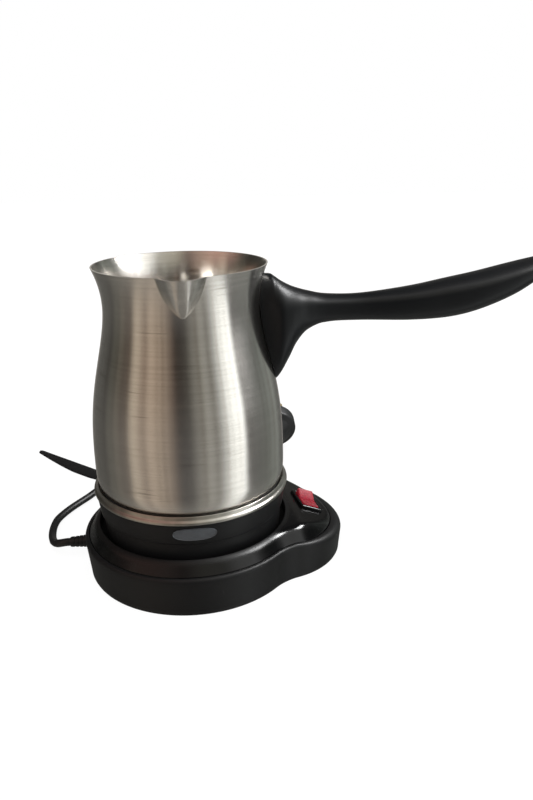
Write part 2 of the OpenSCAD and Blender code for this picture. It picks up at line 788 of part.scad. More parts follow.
module base_leads() {
    color("saddlebrown") {
        // the lead's jacket from its relief to past the clamp
        translate([relief_in, exit_y, exit_z]) rotate([0, 90, 0])
            cylinder(d = cord_d, h = jacket_end - relief_in, $fn = 32);
        for (route = [live_route, neutral_route, lamp_route])
            tube_along(concat([[jacket_end - 0.5, exit_y + route[0][0], exit_z + route[0][1]]], route[1]),
                wire_d, 8);
        tube_along(switched_route, wire_d, 8);
    }
}

module cord_clamp() {
    color([0.2, 0.2, 0.2]) difference() {
        translate([clamp_x - 3.5, exit_y - clamp_reach - 3.5, clamp_z])
            cube([7, 2 * clamp_reach + 7, clamp_t]);
        for (s = [-1, 1]) translate([clamp_x, exit_y + s * clamp_reach, exit_z])
            cylinder(d = small_screw_d + 2 * thread_gap, h = 8, $fn = 32);
    }
}

module clamp_screws() {
    top = clamp_z + clamp_t;
    color("gray") for (s = [-1, 1]) translate([clamp_x, exit_y + s * clamp_reach, 0]) {
        translate([0, 0, top]) cylinder(d = 4.6, h = 1.4, $fn = 48);
        translate([0, 0, top - 6]) cylinder(d = small_screw_d, h = 6 + eps, $fn = 32);
    }
}

module cord_relief() {
    color([0.08, 0.08, 0.08]) translate([exit_x, exit_y, exit_z]) rotate([0, 90, 0]) {
        translate([0, 0, -relief_out]) cylinder(d1 = relief_tip, d2 = relief_d, h = relief_out);
        cylinder(d = relief_d, h = 10);
        translate([0, 0, collar_in]) cylinder(d = collar_d, h = collar_l);
    }
}

// ---- switch ------------------------------------------------------------
pivot_z = -0.5;
pivot_d = 2;
blade_z = -7.4;
blade_tilt = 0.6 * rocker_tilt;
blade_x = 1;
rocker_top = 3.9;
rocker_dip = 2.4;

module switch_housing() {
    color([0.05, 0.05, 0.05]) at_switch() difference() {
        union() {
            translate([-bezel_w / 2, -bezel_l / 2, 0]) cube([bezel_w, bezel_l, bezel_h]);
            translate([-housing_w / 2, -housing_l / 2, -housing_h])
                cube([housing_w, housing_l, housing_h + eps]);
        }
        translate([-housing_w / 2 + housing_wall, -housing_l / 2 + housing_wall, -housing_h + 1.2])
            cube([housing_w - 2 * housing_wall, housing_l - 2 * housing_wall, housing_h + 5]);
        translate([-housing_w, 0, pivot_z]) rotate([0, 90, 0])
            cylinder(d = pivot_d + 0.1, h = 2 * housing_w, $fn = 48);
        for (t = terminal_places) translate([blade_x - 2.45, t[0] - 0.45, -housing_h - 1])
            cube([4.9, 0.9, 4]);
    }
}

bead_d = 1.1;          // round bead that the blade rocks on
terminal_places = [[-6, -8.65], [0, -8.25], [6, -8.8]];

module switch_terminals() {
    color("gold") at_switch() for (t = terminal_places)
        translate([blade_x - 2.4, t[0] - 0.4, -housing_h - 5]) cube([4.8, 0.8, t[1] + housing_h + 5]);
}

module at_rocker() {
    at_switch() translate([0, 0, pivot_z]) rotate([rocker_tilt, 0, 0]) children();
}

module rocker_button() {
    half = rocker_l / 2;
    color([0.78, 0.1, 0.12]) at_rocker() difference() {
        union() {
            translate([-rocker_w / 2, 0, 0]) rotate([90, 0, 90]) linear_extrude(height = rocker_w)
                polygon([[-half, -2.2], [-half, rocker_top - 0.6], [-half + 0.6, rocker_top],
                    [0, rocker_dip], [half - 0.6, rocker_top], [half, rocker_top - 0.6],
                    [half, -2.2], [3, -3], [-3, -3]]);
            rotate([0, 90, 0]) translate([0, 0, -housing_w / 2 + 0.1])
                cylinder(d = pivot_d, h = housing_w - 0.2, $fn = 48);
        }
        translate([-4.2, -6, -4]) cube([3, 12, 5]);
        translate([blade_x, 0, -4]) cylinder(d = 3.3, h = 4.7, $fn = 48);
    }
}

module rocker_lamp() {
    color("orange") at_rocker() translate([-2.7, -4.5, -0.5]) rotate([-90, 0, 0]) {
        cylinder(r = 1.3, h = 8, $fn = 48);
        translate([0, 0, 8]) sphere(r = 1.3, $fn = 48);
    }
}

module rocker_spring() {
    color("silver") at_rocker() translate([blade_x, 0, -6.15]) difference() {
        cylinder(d = 2.7, h = 6.65, $fn = 48);
        translate([0, 0, 0.6]) cylinder(d = 1.7, h = 7, $fn = 48);
    }
}

module switch_blade() {
    color("orange") at_switch() translate([blade_x, 0, blade_z]) rotate([-blade_tilt, 0, 0]) {
        translate([-1.5, -6.6, -0.3]) cube([3, 13.2, 0.6]);
        translate([-1.5, 0, 0]) rotate([0, 90, 0]) cylinder(d = bead_d, h = 3, $fn = 32);
    }
}

// ---- mains lead --------------------------------------------------------
function unit(v) = v / norm(v);
function heading(p, i) = unit(p[min(i + 1, len(p) - 1)] - p[max(i - 1, 0)]);
function carried(p, i, n) = i == len(p) ? []
    : let (t = heading(p, i), m = unit(n - (n * t) * t)) concat([m], carried(p, i + 1, m));

function tube_rings(p, d, sides) =
    let (t0 = heading(p, 0), side = cross(t0, abs(t0[2]) < 0.9 ? [0, 0, 1] : [1, 0, 0]),
         ns = carried(p, 0, unit(side)))
    [for (i = [0:len(p) - 1]) let (t = heading(p, i), b = cross(t, ns[i]))
        [for (k = [0:sides - 1]) p[i] + d / 2 * (cos(360 * k / sides) * ns[i] + sin(360 * k / sides) * b)]];

module tube_along(p, d, sides) {
    skin(tube_rings(p, d, sides));
}

coil_at = [-5, 103];
coil_out_r = 31.5;
coil_step = cord_d + 0.7;                  // step between turns and layers
coil_z = strap_t + seat_gap + cord_d / 2;
coil_from = 130;                           // azimuth where the lead joins the coil
layer_turns = 2.152;
coil_rings = 24;

function coil_point(t) =
    let (r = coil_out_r - coil_step * (layer_turns - abs(layer_turns - t)),
         climb = min(1, max(0, (t - layer_turns + 0.25) / 0.5)), a = coil_from - 360 * t)
    [coil_at[0] + r * cos(a), coil_at[1] + r * sin(a), coil_z + coil_step * climb];

coil_turned = [for (i = [0:round(2 * layer_turns * coil_rings)])
    coil_point(2 * layer_turns * i / round(2 * layer_turns * coil_rings))];
coil_first = coil_turned[0];
coil_last = coil_turned[len(coil_turned) - 1];
coil_join = [cos(coil_from - 90), sin(coil_from - 90), 0];
coil_in = coil_first - cord_d * coil_join;
coil_leave_a = coil_from - 720 * layer_turns - 90;
coil_leave = [cos(coil_leave_a), sin(coil_leave_a), 0];
coil_out = coil_last + cord_d * coil_leave;
coil_line = concat([coil_in], coil_turned, [coil_out]);

// least gap between the coil's turns, measured on its points
coil_gap = min([for (i = [0:len(coil_line) - 1], j = [i + 8:1:len(coil_line) - 1])
    norm(coil_line[i] - coil_line[j])]) - cord_d;
echo(least_gap_in_coil_mm = coil_gap);

// the jug's leads start at the balls on the element's pins
pin_ball = [element_r * cos(element_gap_a) + element_pin_l * sin(element_gap_a),
    element_r * sin(element_gap_a) - element_pin_l * cos(element_gap_a), element_z];
lead_first = [23.5, 7.6, 42];
lead_route = [pin_ball + (element_ball_d / 2 + touch_gap / 2) * unit(lead_first - pin_ball), lead_first,
    [19, 6.6, 38.6], [15.4, 5.8, 36], [12, 5.2, 34.6]];
live_route = [[-1, 1], [[-26, 9.5, 8.2], [-14, 9, 7], [10, 6, 6], [36, 1, 5.4], [52, 1.5, 4.8],
    [58, 1.8, 5], [60.1, 1.9, 5.9], [60.9, 2, 7.5]]];
neutral_route = [[-1, -1], [[-25, 7.4, 5.6], [-14, 4, 5.6], [-5, 1.2, 7], [-0.8, 0.2, 8.8], [0, 0, 10.8],
    [0, 0, 14.4]]];
lamp_route = [[1.2, 0.2], [[-25, 13.4, 6.4], [0, 17.4, 5.6], [30, 16, 5.2], [50, 14.2, 4.6],
    [56.6, 13.8, 4.9], [58.5, 13.8, 5.9], [59.3, 13.9, 7.5]]];
switched_route = [[60.1, 7.9, 7.5], [59.3, 7.8, 5.7], [56, 8, 4.9], [40, 9, 5], [25, 9, 6],
    [16.4, 3.4, 7.6], [13.2, 0.5, 9], [ring_wire_x, 0, 10.8], [ring_wire_x, 0, 17.9]];

main_route = [[-73.2, 10, 7.4], [-76.2, 10.9, 6.6], [-79, 13.2, 5.2], [-81.4, 17.2, 3.9], [-83, 22, 2.9],
    [-84.3, 28, 2.3], [-84.9, 34, 2.3], [-84.9, 40, 2.3], [-84, 47, 2.3], [-81.3, 54, 2.3],
    [-77.6, 61, 2.3], [-73.3, 67.5, 2.4], [-68.6, 74, 2.6], [-64.6, 80, 3], [-60.6, 86.4, 3.5],
    [-57, 93, 3.8], [-52.8, 99.6, 3.8], [-47.8, 106.4, 3.8], [-41.7, 112.8, 3.8], [-35.2, 118.6, 3.8]];
plug_route = [[28, 104.6, 8.3], [29.8, 99.6, 7.2], [31.5, 94.8, 5.9], [33.8, 89.6, 4.6],
    [37.6, 85, 3.4], [42.5, 82.4, 2.6], [48, 82, 2.3], [53.3, 84, 2.3], [57.5, 87.8, 2.3],
    [60.4, 92, 2.3]];
plug_at = [61.5, 100, 3.6];
plug_rise = 22.4;
plug_axis = [0, cos(plug_rise), sin(plug_rise)];
end_run = 1.5;         // straight end of a lead where it meets the next length

module mains_lead() {
    start = [[exit_x - relief_out, exit_y, exit_z]];
    color([0.1, 0.1, 0.1]) tube_along(concat(start, main_route,
        [coil_in - end_run * coil_join, coil_in]), cord_d, 10);
}

module lead_coil() {
    color([0.1, 0.1, 0.1]) tube_along(coil_line, cord_d, 6);
}

module plug_lead() {
    color([0.1, 0.1, 0.1]) tube_along(concat([coil_out, coil_out + end_run * coil_leave],
        plug_route, [plug_at - 2 * end_run * plug_axis, plug_at]), cord_d, 10);
}

strap_from = -41;      // where the strap's tail starts to bend
strap_bend_r = 43;
strap_bend = 43;
strap_run = 34;        // straight length, then the length that tapers
strap_taper = 30;
band_w = layer_turns * coil_step + cord_d + 2 * seat_gap;
band_h = coil_step + cord_d + 2 * seat_gap;
band_x = coil_at[0] - coil_out_r + layer_turns * coil_step / 2;

// point of the tail: side is measured across it, run along it past the bend
function strap_at(a, side, run = 0) =
    [strap_from, coil_at[1] + strap_bend_r]
    + (strap_bend_r + side) * [cos(a), sin(a)] + run * [sin(a), -cos(a)];

strap_end = -90 - strap_bend;
strap_steps = 8;
strap_outline = concat(
    [[band_x - band_w / 2 - strap_t / 2, coil_at[1] + strap_w / 2],
     [band_x - band_w / 2 - strap_t / 2, coil_at[1] - strap_w / 2]],
    [for (i = [0:strap_steps]) strap_at(-90 - strap_bend * i / strap_steps, strap_w / 2)],
    [strap_at(strap_end, strap_w / 2, strap_run),
     strap_at(strap_end, 3 - strap_w / 2, strap_run + strap_taper),
     strap_at(strap_end, 1 - strap_w / 2, strap_run + strap_taper + 1),
     strap_at(strap_end, -strap_w / 2, strap_run + strap_taper - 1)],
    [for (i = [strap_steps:-1:0]) strap_at(-90 - strap_bend * i / strap_steps, -strap_w / 2)]);

// the fabric strap goes round the coil, and its tail lies out on the table
module lead_strap() {
    color([0.13, 0.13, 0.14]) {
        translate([band_x, coil_at[1] + strap_w / 2, 0]) rotate([90, 0, 0])
            linear_extrude(height = strap_w) difference() {
                translate([-band_w / 2 - strap_t, 0])
                    square([band_w + 2 * strap_t, band_h + 2 * strap_t]);
                translate([-band_w / 2, strap_t]) square([band_w, band_h]);
            }
        linear_extrude(height = strap_t) polygon(strap_outline);
    }
}

boot_l = 24;
plug_l = 46;

module at_plug() {
    translate(plug_at) rotate([plug_rise - 90, 0, 0]) children();
}

module plug_body() {
    r = plug_d / 2;
    color([0.08, 0.08, 0.08]) at_plug() rotate_extrude() polygon([
        [0, 0], [cord_d / 2 + 1.2, 0], [cord_d / 2 + 2.8, boot_l], [7.5, boot_l + 1.5], [9, boot_l + 5],
        [r - 4, boot_l + 10.5], [r - 0.8, boot_l + 12], [r, boot_l + 13], [r, plug_l - 1], [r - 1, plug_l],
        [0, plug_l]]);
}

module plug_pins() {
    color("silver") at_plug() for (s = [-1, 1]) translate([s * plug_pin_gap / 2, 0, plug_l]) {
        cylinder(d = 4.8, h = 17.5, $fn = 48);
        translate([0, 0, 17.5]) cylinder(d1 = 4.8, d2 = 2.6, h = 1.5, $fn = 48);
    }
}

jug_body();
pour_spout();
bottom_ring();
jug_skirt();
name_plate();
foot_gasket();
heat_spreader();
heating_element();
element_pins();
skirt_posts();
skirt_screws();
boil_dry_cutout();
thermal_fuse();
jug_connector();
jug_leads();
handle_bracket();
handle_grip();
handle_screw();
jug_contacts();
base_body();
top_deck();
bottom_plate();
rubber_feet();
base_screws();
base_connector();
connector_core();
base_contacts();
connector_screws();
base_leads();
cord_clamp();
clamp_screws();
cord_relief();
switch_housing();
switch_terminals();
rocker_button();
rocker_lamp();
rocker_spring();
switch_blade();
mains_lead();
lead_coil();
plug_lead();
lead_strap();
plug_body();
plug_pins();
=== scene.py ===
import json
import math

import bmesh
import bpy
from mathutils import Matrix, Vector


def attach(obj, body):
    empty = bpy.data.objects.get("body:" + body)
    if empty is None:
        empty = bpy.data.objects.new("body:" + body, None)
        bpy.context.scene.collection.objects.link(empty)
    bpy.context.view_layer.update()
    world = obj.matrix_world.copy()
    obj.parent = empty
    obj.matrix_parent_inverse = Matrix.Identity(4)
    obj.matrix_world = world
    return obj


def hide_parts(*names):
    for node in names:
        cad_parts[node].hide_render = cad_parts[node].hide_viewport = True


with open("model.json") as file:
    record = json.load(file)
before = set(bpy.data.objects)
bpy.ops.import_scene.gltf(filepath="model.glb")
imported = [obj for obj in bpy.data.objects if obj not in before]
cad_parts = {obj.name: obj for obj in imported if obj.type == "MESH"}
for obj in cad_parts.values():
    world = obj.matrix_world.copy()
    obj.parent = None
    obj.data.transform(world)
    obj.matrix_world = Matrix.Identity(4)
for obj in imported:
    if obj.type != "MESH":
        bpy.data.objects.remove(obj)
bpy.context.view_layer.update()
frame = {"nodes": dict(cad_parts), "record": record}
mm = 0.001


# camera, at the photograph's viewing angle
camera = {
    "place": (0.0, -0.350955, 0.218012),
    "yaw": 0.1194447,
    "pitch": 0.3460337,
    "roll": -0.0153272,
    "lens": 31.5,
}


def makeCamera():
    yaw, pitch, roll = camera["yaw"], camera["pitch"], camera["roll"]
    look = Vector((math.sin(yaw) * math.cos(pitch), math.cos(yaw) * math.cos(pitch), -math.sin(pitch)))
    level = Vector((math.cos(yaw), -math.sin(yaw), 0))
    lift = level.cross(look)
    right = level * math.cos(roll) + lift * math.sin(roll)
    up = lift * math.cos(roll) - level * math.sin(roll)
    data = bpy.data.cameras.new("camera")
    data.sensor_width = 36
    data.lens = camera["lens"]
    data.clip_start = 0.01
    data.clip_end = 30
    eye = bpy.data.objects.new("camera", data)
    eye.matrix_world = Matrix.Translation(camera["place"]) @ Matrix((right, up, -look)).transposed().to_4x4()
    bpy.context.scene.collection.objects.link(eye)
    bpy.context.scene.camera = eye


makeCamera()


# mesh helpers, all in millimetres
def makePiece(name, points, faces, smooth=True):
    mesh = bpy.data.meshes.new(name)
    mesh.from_pydata([Vector(p) * mm for p in points], [], faces)
    mesh.validate()
    mesh.update()
    work = bmesh.new()
    work.from_mesh(mesh)
    bmesh.ops.recalc_face_normals(work, faces=work.faces)
    work.to_mesh(mesh)
    work.free()
    for face in mesh.polygons:
        face.use_smooth = smooth
    piece = bpy.data.objects.new(name, mesh)
    bpy.context.scene.collection.objects.link(piece)
    return piece


# rings of points, joined one to the next
def makeLoft(name, rings, closed=False):
    across, along = len(rings[0]), len(rings)
    points = [p for ring in rings for p in ring]
    faces = []
    for i in range(along if closed else along - 1):
        for j in range(across):
            k, n = (j + 1) % across, (i + 1) % along
            faces.append((i * across + j, i * across + k, n * across + k, n * across + j))
    if not closed:
        faces.append(tuple(range(across - 1, -1, -1)))
        faces.append(tuple((along - 1) * across + j for j in range(across)))
    return makePiece(name, points, faces)


# radius of the pinhole that a turned outline keeps on its axis
axisGap = 0.01


# closed outline of (radius, height) turned about an axis
def makeLathe(name, outline, steps=160, place=None):
    place = place or Matrix.Identity(4)
    rings = []
    for r, z in outline:
        turn = [2 * math.pi * k / steps for k in range(steps)]
        rings.append([place @ Vector((r * math.cos(a), r * math.sin(a), z)) for a in turn])
    return makeLoft(name, rings, closed=True)


# rounds the corners of a closed outline
def roundOff(outline, radius, steps=5):
    result = []
    for i, here in enumerate(outline):
        here = Vector(here)
        before, after = Vector(outline[i - 1]), Vector(outline[(i + 1) % len(outline)])
        back, ahead = before - here, after - here
        cut = min(radius, back.length * 0.48, ahead.length * 0.48)
        start, end = here + back.normalized() * cut, here + ahead.normalized() * cut
        for k in range(steps + 1):
            t = k / steps
            result.append(start * (1 - t) ** 2 + here * 2 * t * (1 - t) + end * t * t)
    return result


def bakeDown(piece):
    # keeps the result of the piece's modifiers as its mesh
    seen = piece.evaluated_get(bpy.context.evaluated_depsgraph_get())
    mesh = bpy.data.meshes.new_from_object(seen)
    piece.modifiers.clear()
    piece.data = mesh
    return piece


def cutWith(piece, *tools):
    for tool in tools:
        cut = piece.modifiers.new("cut", "BOOLEAN")
        cut.operation = "DIFFERENCE"
        cut.solver = "EXACT"
        cut.object = tool
        bakeDown(piece)
        bpy.data.objects.remove(tool)
    return piece


def smoothByAngle(piece, degrees):
    mesh = piece.data
    for face in mesh.polygons:
        face.use_smooth = True
    work = bmesh.new()
    work.from_mesh(mesh)
    for edge in work.edges:
        sharp = len(edge.link_faces) == 2 and edge.calc_face_angle(0) > math.radians(degrees)
        edge.smooth = not sharp
    work.to_mesh(mesh)
    work.free()
    return piece


def curveThrough(points, steps):
    # smooth line through the points, steps samples from one to the next
    line = []
    spots = [Vector(p) for p in points]
    for i in range(len(spots) - 1):
        a, b = spots[max(0, i - 1)], spots[i]
        c, d = spots[i + 1], spots[min(len(spots) - 1, i + 2)]
        for k in range(steps):
            t = k / steps
            line.append(b + (c - a) * (t / 2) + (a * 2 - b * 5 + c * 4 - d) * (t * t / 2)
                        + (b * 3 - c * 3 + d - a) * (t ** 3 / 2))
    line.append(spots[-1])
    return line


def riseBetween(low, high, value):
    t = min(1, max(0, (value - low) / (high - low)))
    return t * t * (3 - 2 * t)


def softMin(a, b, width):
    h = max(width - abs(a - b), 0) / width
    return min(a, b) - h * h * width / 4


def softMax(a, b, width):
    return -softMin(-a, -b, width)


# shader helpers
class Wire:
    # a socket that can stand in a sum
    def __init__(self, book, socket):
        self.book = book
        self.socket = socket

    def join(self, operation, left, right):
        return self.book.node("ShaderNodeMath", {"operation": operation}, {0: left, 1: right})

    def __add__(self, other):
        return self.join("ADD", self, other)

    def __radd__(self, other):
        return self.join("ADD", other, self)

    def __sub__(self, other):
        return self.join("SUBTRACT", self, other)

    def __rsub__(self, other):
        return self.join("SUBTRACT", other, self)

    def __mul__(self, other):
        return self.join("MULTIPLY", self, other)

    def __rmul__(self, other):
        return self.join("MULTIPLY", other, self)


class NodeBook:
    def __init__(self, tree):
        self.tree = tree
        tree.nodes.clear()

    def node(self, kind, settings=None, sockets=None, output=0):
        node = self.tree.nodes.new(kind)
        for name, value in (settings or {}).items():
            if name == "stops":
                for i, (place, colour) in enumerate(value):
                    stop = node.color_ramp.elements[i] if i < 2 else node.color_ramp.elements.new(place)
                    stop.position = place
                    stop.color = colour
            else:
                setattr(node, name, value)
        for name, value in (sockets or {}).items():
            if isinstance(value, Wire):
                self.tree.links.new(value.socket, node.inputs[name])
            else:
                node.inputs[name].default_value = value
        return Wire(self, node.outputs[output]) if node.outputs else node

    def place(self):
        return self.node("ShaderNodeTexCoord", output=3)

    # noise whose grain is stretched by the three factors
    def grain(self, stretch, detail=3.0):
        spot = self.node("ShaderNodeMapping", {}, {"Vector": self.place(), "Scale": stretch})
        return self.node("ShaderNodeTexNoise", {},
                         {"Vector": spot, "Scale": 1.0, "Detail": detail, "Roughness": 0.55})

    def ramp(self, value, low, high):
        stops = [(low, (0, 0, 0, 1)), (high, (1, 1, 1, 1))]
        return self.node("ShaderNodeValToRGB", {"stops": stops}, {"Fac": value})

    def blendColour(self, mask, first, second):
        return self.node("ShaderNodeMix", {"data_type": "RGBA"}, {0: mask, 6: first, 7: second}, 2)

    def bump(self, height, strength, distance):
        return self.node("ShaderNodeBump", {}, {"Height": height, "Strength": strength, "Distance": distance})


def makeFinish(name, paint, fixed):
    material = bpy.data.materials.new(name)
    material.use_nodes = True
    book = NodeBook(material.node_tree)
    sockets = dict(fixed)
    sockets.update(paint(book))
    shader = book.node("ShaderNodeBsdfPrincipled", {}, sockets)
    book.node("ShaderNodeOutputMaterial", {}, {"Surface": shader})
    return material


steel = {
    "light": (0.72, 0.69, 0.65, 1),
    "dark": (0.60, 0.57, 0.53, 1),
    "scuff": (0.34, 0.31, 0.27, 1),
    "roughness": 0.19,
    "brushing": 0.82,
}


def paintSteel(book):
    # fine lines round the jug, with broader bands and a few smudges
    fine = book.grain((12, 12, 3400), 2.0)
    band = book.grain((9, 9, 900), 3.0)
    smudge = book.grain((26, 26, 20), 4.0)
    marks = book.ramp(book.grain((34, 34, 620), 2.0), 0.66, 0.78)
    tone = fine * 0.4 + band * 0.2 + smudge * 0.4
    sheet = book.blendColour(book.ramp(tone, 0.38, 0.62), steel["dark"], steel["light"])
    return {
        "Base Color": book.blendColour(marks * 0.55, sheet, steel["scuff"]),
        "Roughness": steel["roughness"] - 0.05 + band * 0.06 + smudge * 0.1,
        "Normal": book.bump(fine * 0.7 + band * 0.3, 0.05, 0.0002),
    }


def paintPlastic(colour, grainSize, low, spread, bump):
    def paint(book):
        grain = book.grain((grainSize,) * 3, 2.0)
        cloud = book.grain((45, 45, 45), 4.0)
        lighter = tuple(min(1, c * 1.5 + 0.002) for c in colour)
        return {
            "Base Color": book.blendColour(cloud, (*colour, 1), (*lighter, 1)),
            "Roughness": low + grain * (spread * 0.5) + cloud * (spread * 0.5),
            "Normal": book.bump(grain, bump, 0.0002),
        }
    return paint


gloss = {
    "look": ((0.0022, 0.0022, 0.0025), 160, 0.1, 0.12, 0.03),
    "dullAt": 0.0512, "glossAt": 0.0515, "dull": 0.6,
}


def paintGloss(book):
    # gloss that turns dull down inside the well, where dust and steam settle
    paint = paintPlastic(*gloss["look"])(book)
    flat = book.node("ShaderNodeVectorMath", {"operation": "MULTIPLY"}, {0: book.place(), 1: (1, 1, 0)})
    out = book.node("ShaderNodeVectorMath", {"operation": "LENGTH"}, {0: flat}, 1)
    inside = 1 - book.ramp(out, gloss["dullAt"], gloss["glossAt"])
    paint["Roughness"] = paint["Roughness"] + inside * gloss["dull"]
    return paint


def paintMetal(colour, low, spread, stretch):
    def paint(book):
        line = book.grain(stretch, 3.0)
        stain = book.grain((120, 120, 120), 3.0)
        darker = tuple(c * 0.72 for c in colour)
        return {
            "Base Color": book.blendColour(book.ramp(stain, 0.35, 0.65), (*darker, 1), (*colour, 1)),
            "Roughness": low + line * spread,
            "Normal": book.bump(line, 0.1, 0.0002),
        }
    return paint


def paintWeave(book):
    spot = book.place()
    warp = book.node("ShaderNodeTexWave", {"bands_direction": "DIAGONAL"},
                     {"Vector": spot, "Scale": 520.0, "Distortion": 1.2, "Detail": 2.0})
    weft = book.node("ShaderNodeTexWave", {"bands_direction": "Y"},
                     {"Vector": spot, "Scale": 700.0, "Distortion": 0.8, "Detail": 1.0})
    weave = warp * weft
    return {
        "Base Color": book.blendColour(weave, (0.002, 0.002, 0.0025, 1), (0.013, 0.013, 0.014, 1)),
        "Roughness": 0.78 + weave * 0.15,
        "Normal": book.bump(weave, 0.5, 0.0004),
    }


# colour, size of the grain, roughness and its spread, depth of the grain
plastics = {
    "satin_black": ((0.0045, 0.0045, 0.005), 1900, 0.36, 0.16, 0.14),
    "dark_plastic": ((0.028, 0.028, 0.03), 1400, 0.5, 0.2, 0.25),
    "handle_black": ((0.0022, 0.0028, 0.0038), 1300, 0.29, 0.14, 0.1),
    "gasket_rubber": ((0.03, 0.03, 0.03), 1500, 0.7, 0.2, 0.3),
    "feet_rubber": ((0.02, 0.02, 0.02), 1500, 0.65, 0.25, 0.35),
    "cream_plastic": ((0.6, 0.54, 0.42), 1200, 0.45, 0.2, 0.2),
    "lead_insulation": ((0.3, 0.1, 0.05), 1600, 0.5, 0.2, 0.2),
    "rocker_red": ((0.34, 0.010, 0.028), 700, 0.2, 0.14, 0.04),
    "lamp_glass": ((0.9, 0.55, 0.3), 300, 0.05, 0.05, 0.02),
    "cord_black": ((0.004, 0.004, 0.0045), 900, 0.38, 0.16, 0.12),
    "plug_black": ((0.005, 0.005, 0.0055), 1500, 0.42, 0.16, 0.2),
}
# colour, roughness and its spread, size of the grain along each axis
metals = {
    "trim_chrome": ((0.5, 0.48, 0.44), 0.24, 0.14, (40, 40, 1800)),
    "plate_grey": ((0.13, 0.14, 0.155), 0.34, 0.16, (90, 90, 2400)),
    "spreader_aluminium": ((0.7, 0.7, 0.71), 0.3, 0.2, (60, 60, 60)),
    "element_steel": ((0.2, 0.19, 0.18), 0.45, 0.2, (400, 400, 400)),
    "pin_steel": ((0.62, 0.61, 0.6), 0.25, 0.15, (500, 500, 500)),
    "screw_steel": ((0.5, 0.5, 0.52), 0.28, 0.2, (900, 900, 900)),
    "contact_brass": ((0.72, 0.56, 0.28), 0.22, 0.16, (700, 700, 700)),
}
# values of a finish that are the same all over it
evenValues = {
    "jug_steel": {"Metallic": 1.0, "Anisotropic": steel["brushing"], "Anisotropic Rotation": 0.25},
    "plate_grey": {"Metallic": 0.55},
    "satin_black": {"Specular IOR Level": 0.24},
    "gloss_black": {"Specular IOR Level": 0.32},
    "handle_black": {"Specular IOR Level": 0.27},
    "cord_black": {"Specular IOR Level": 0.4},
    "plug_black": {"Specular IOR Level": 0.4},
    "strap_fabric": {"Specular IOR Level": 0.18},
    "lamp_glass": {"Transmission Weight": 0.8},
    "rocker_red": {
        "Coat Weight": 0.6, "Coat Roughness": 0.08, "Subsurface Weight": 0.2, "Subsurface Scale": 0.002,
        # the faint red emission is a painted glow that brightens the rocker's red
        "Emission Color": (0.8, 0.03, 0.06, 1), "Emission Strength": 0.04},
}
paints = {"jug_steel": paintSteel, "gloss_black": paintGloss, "strap_fabric": paintWeave}
paints.update({slot: paintPlastic(*look) for slot, look in plastics.items()})
paints.update({slot: paintMetal(*look) for slot, look in metals.items()})
finishes = {}
for slot, paint in paints.items():
    first, *others = slot.split("_")
    fixed = evenValues.get(slot, {"Metallic": 1.0} if slot in metals else {})
    finishes[slot] = makeFinish(first + "".join(word.title() for word in others), paint, fixed)
slotOf = {part["node"]: part["material_slot"] for part in frame["record"]["subparts"]}
replaced = set()


# gives a piece its finish, its body and the CAD nodes that it stands for
def dress(piece, body, slot, *nodes):
    piece.data.materials.clear()
    piece.data.materials.append(finishes[slot])
    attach(piece, body)
    if nodes:
        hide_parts(*nodes)
        replaced.update(nodes)
    return piece


# mains lead
lead = {
    "diameter": 4.5,
    "exit": (-70.825, 10, 7.4),
    "length": 0.915,
    "toCoil": [
        (-73.2, 10, 7.4), (-76.2, 10.9, 6.6), (-79, 13.2, 5.2), (-81.4, 17.2, 3.9), (-83, 22, 2.9),
        (-84.3, 28, 2.3), (-84.9, 34, 2.3), (-84.9, 40, 2.3), (-84, 47, 2.3), (-81.3, 54, 2.3),
        (-77.6, 61, 2.3), (-73.3, 67.5, 2.4), (-68.6, 74, 2.6), (-64.6, 80, 3), (-60.6, 86.4, 3.5),
        (-57, 93, 3.8), (-52.8, 99.6, 3.8), (-47.8, 106.4, 3.8), (-41.7, 112.8, 3.8), (-35.2, 118.6, 3.8)],
    "coilAt": (-5, 103),
    "coilRadius": 31.5,
    "coilStep": 5.2,
    "coilHeight": 3.75,
    "coilFrom": 130,
    "layerTurns": 2.152,
    "climbTurns": 0.5,
    "pointsPerTurn": 24,
    "smoothing": 3,
    "toPlug": [
        (28, 104.6, 8.3), (29.8, 99.6, 7.2), (31.5, 94.8, 5.9), (33.8, 89.6, 4.6), (37.6, 85, 3.4),
        (42.5, 82.4, 2.6), (48, 82, 2.3), (53.3, 84, 2.3), (57.5, 87.8, 2.3), (60.4, 92, 2.3),
        (61.5, 97.23, 2.457)],
    "plugAt": (61.5, 100, 3.6),
}


def coilPoint(turns):
    half = lead["layerTurns"]
    radius = lead["coilRadius"] - lead["coilStep"] * (half - abs(half - turns))
    climb = riseBetween(half - lead["climbTurns"] / 2, half + lead["climbTurns"] / 2, turns)
    a = math.radians(lead["coilFrom"] - 360 * turns)
    x, y = lead["coilAt"]
    return Vector((x + radius * math.cos(a), y + radius * math.sin(a),
                   lead["coilHeight"] + lead["coilStep"] * climb))


def makeLead():
    count = round(2 * lead["layerTurns"] * lead["pointsPerTurn"])
    coil = [coilPoint(2 * lead["layerTurns"] * i / count) for i in range(count + 1)]
    spots = [lead["exit"]] + lead["toCoil"] + coil + lead["toPlug"] + [lead["plugAt"]]
    line = curveThrough(spots, lead["smoothing"])
    data = bpy.data.curves.new("mainsLead", "CURVE")
    data.dimensions = "3D"
    data.bevel_depth = lead["diameter"] / 2 * mm
    data.bevel_resolution = 4
    data.use_fill_caps = True
    spline = data.splines.new("POLY")
    spline.points.add(len(line) - 1)
    for point, spot in zip(spline.points, line):
        point.co = (*(spot * mm), 1)
    spline.use_smooth = True
    piece = bpy.data.objects.new("mainsLead", data)
    bpy.context.scene.collection.objects.link(piece)
    return dress(piece, "base", "cord_black", "mains_lead", "lead_coil", "plug_lead")


mainsLead = makeLead()
print("lead made")

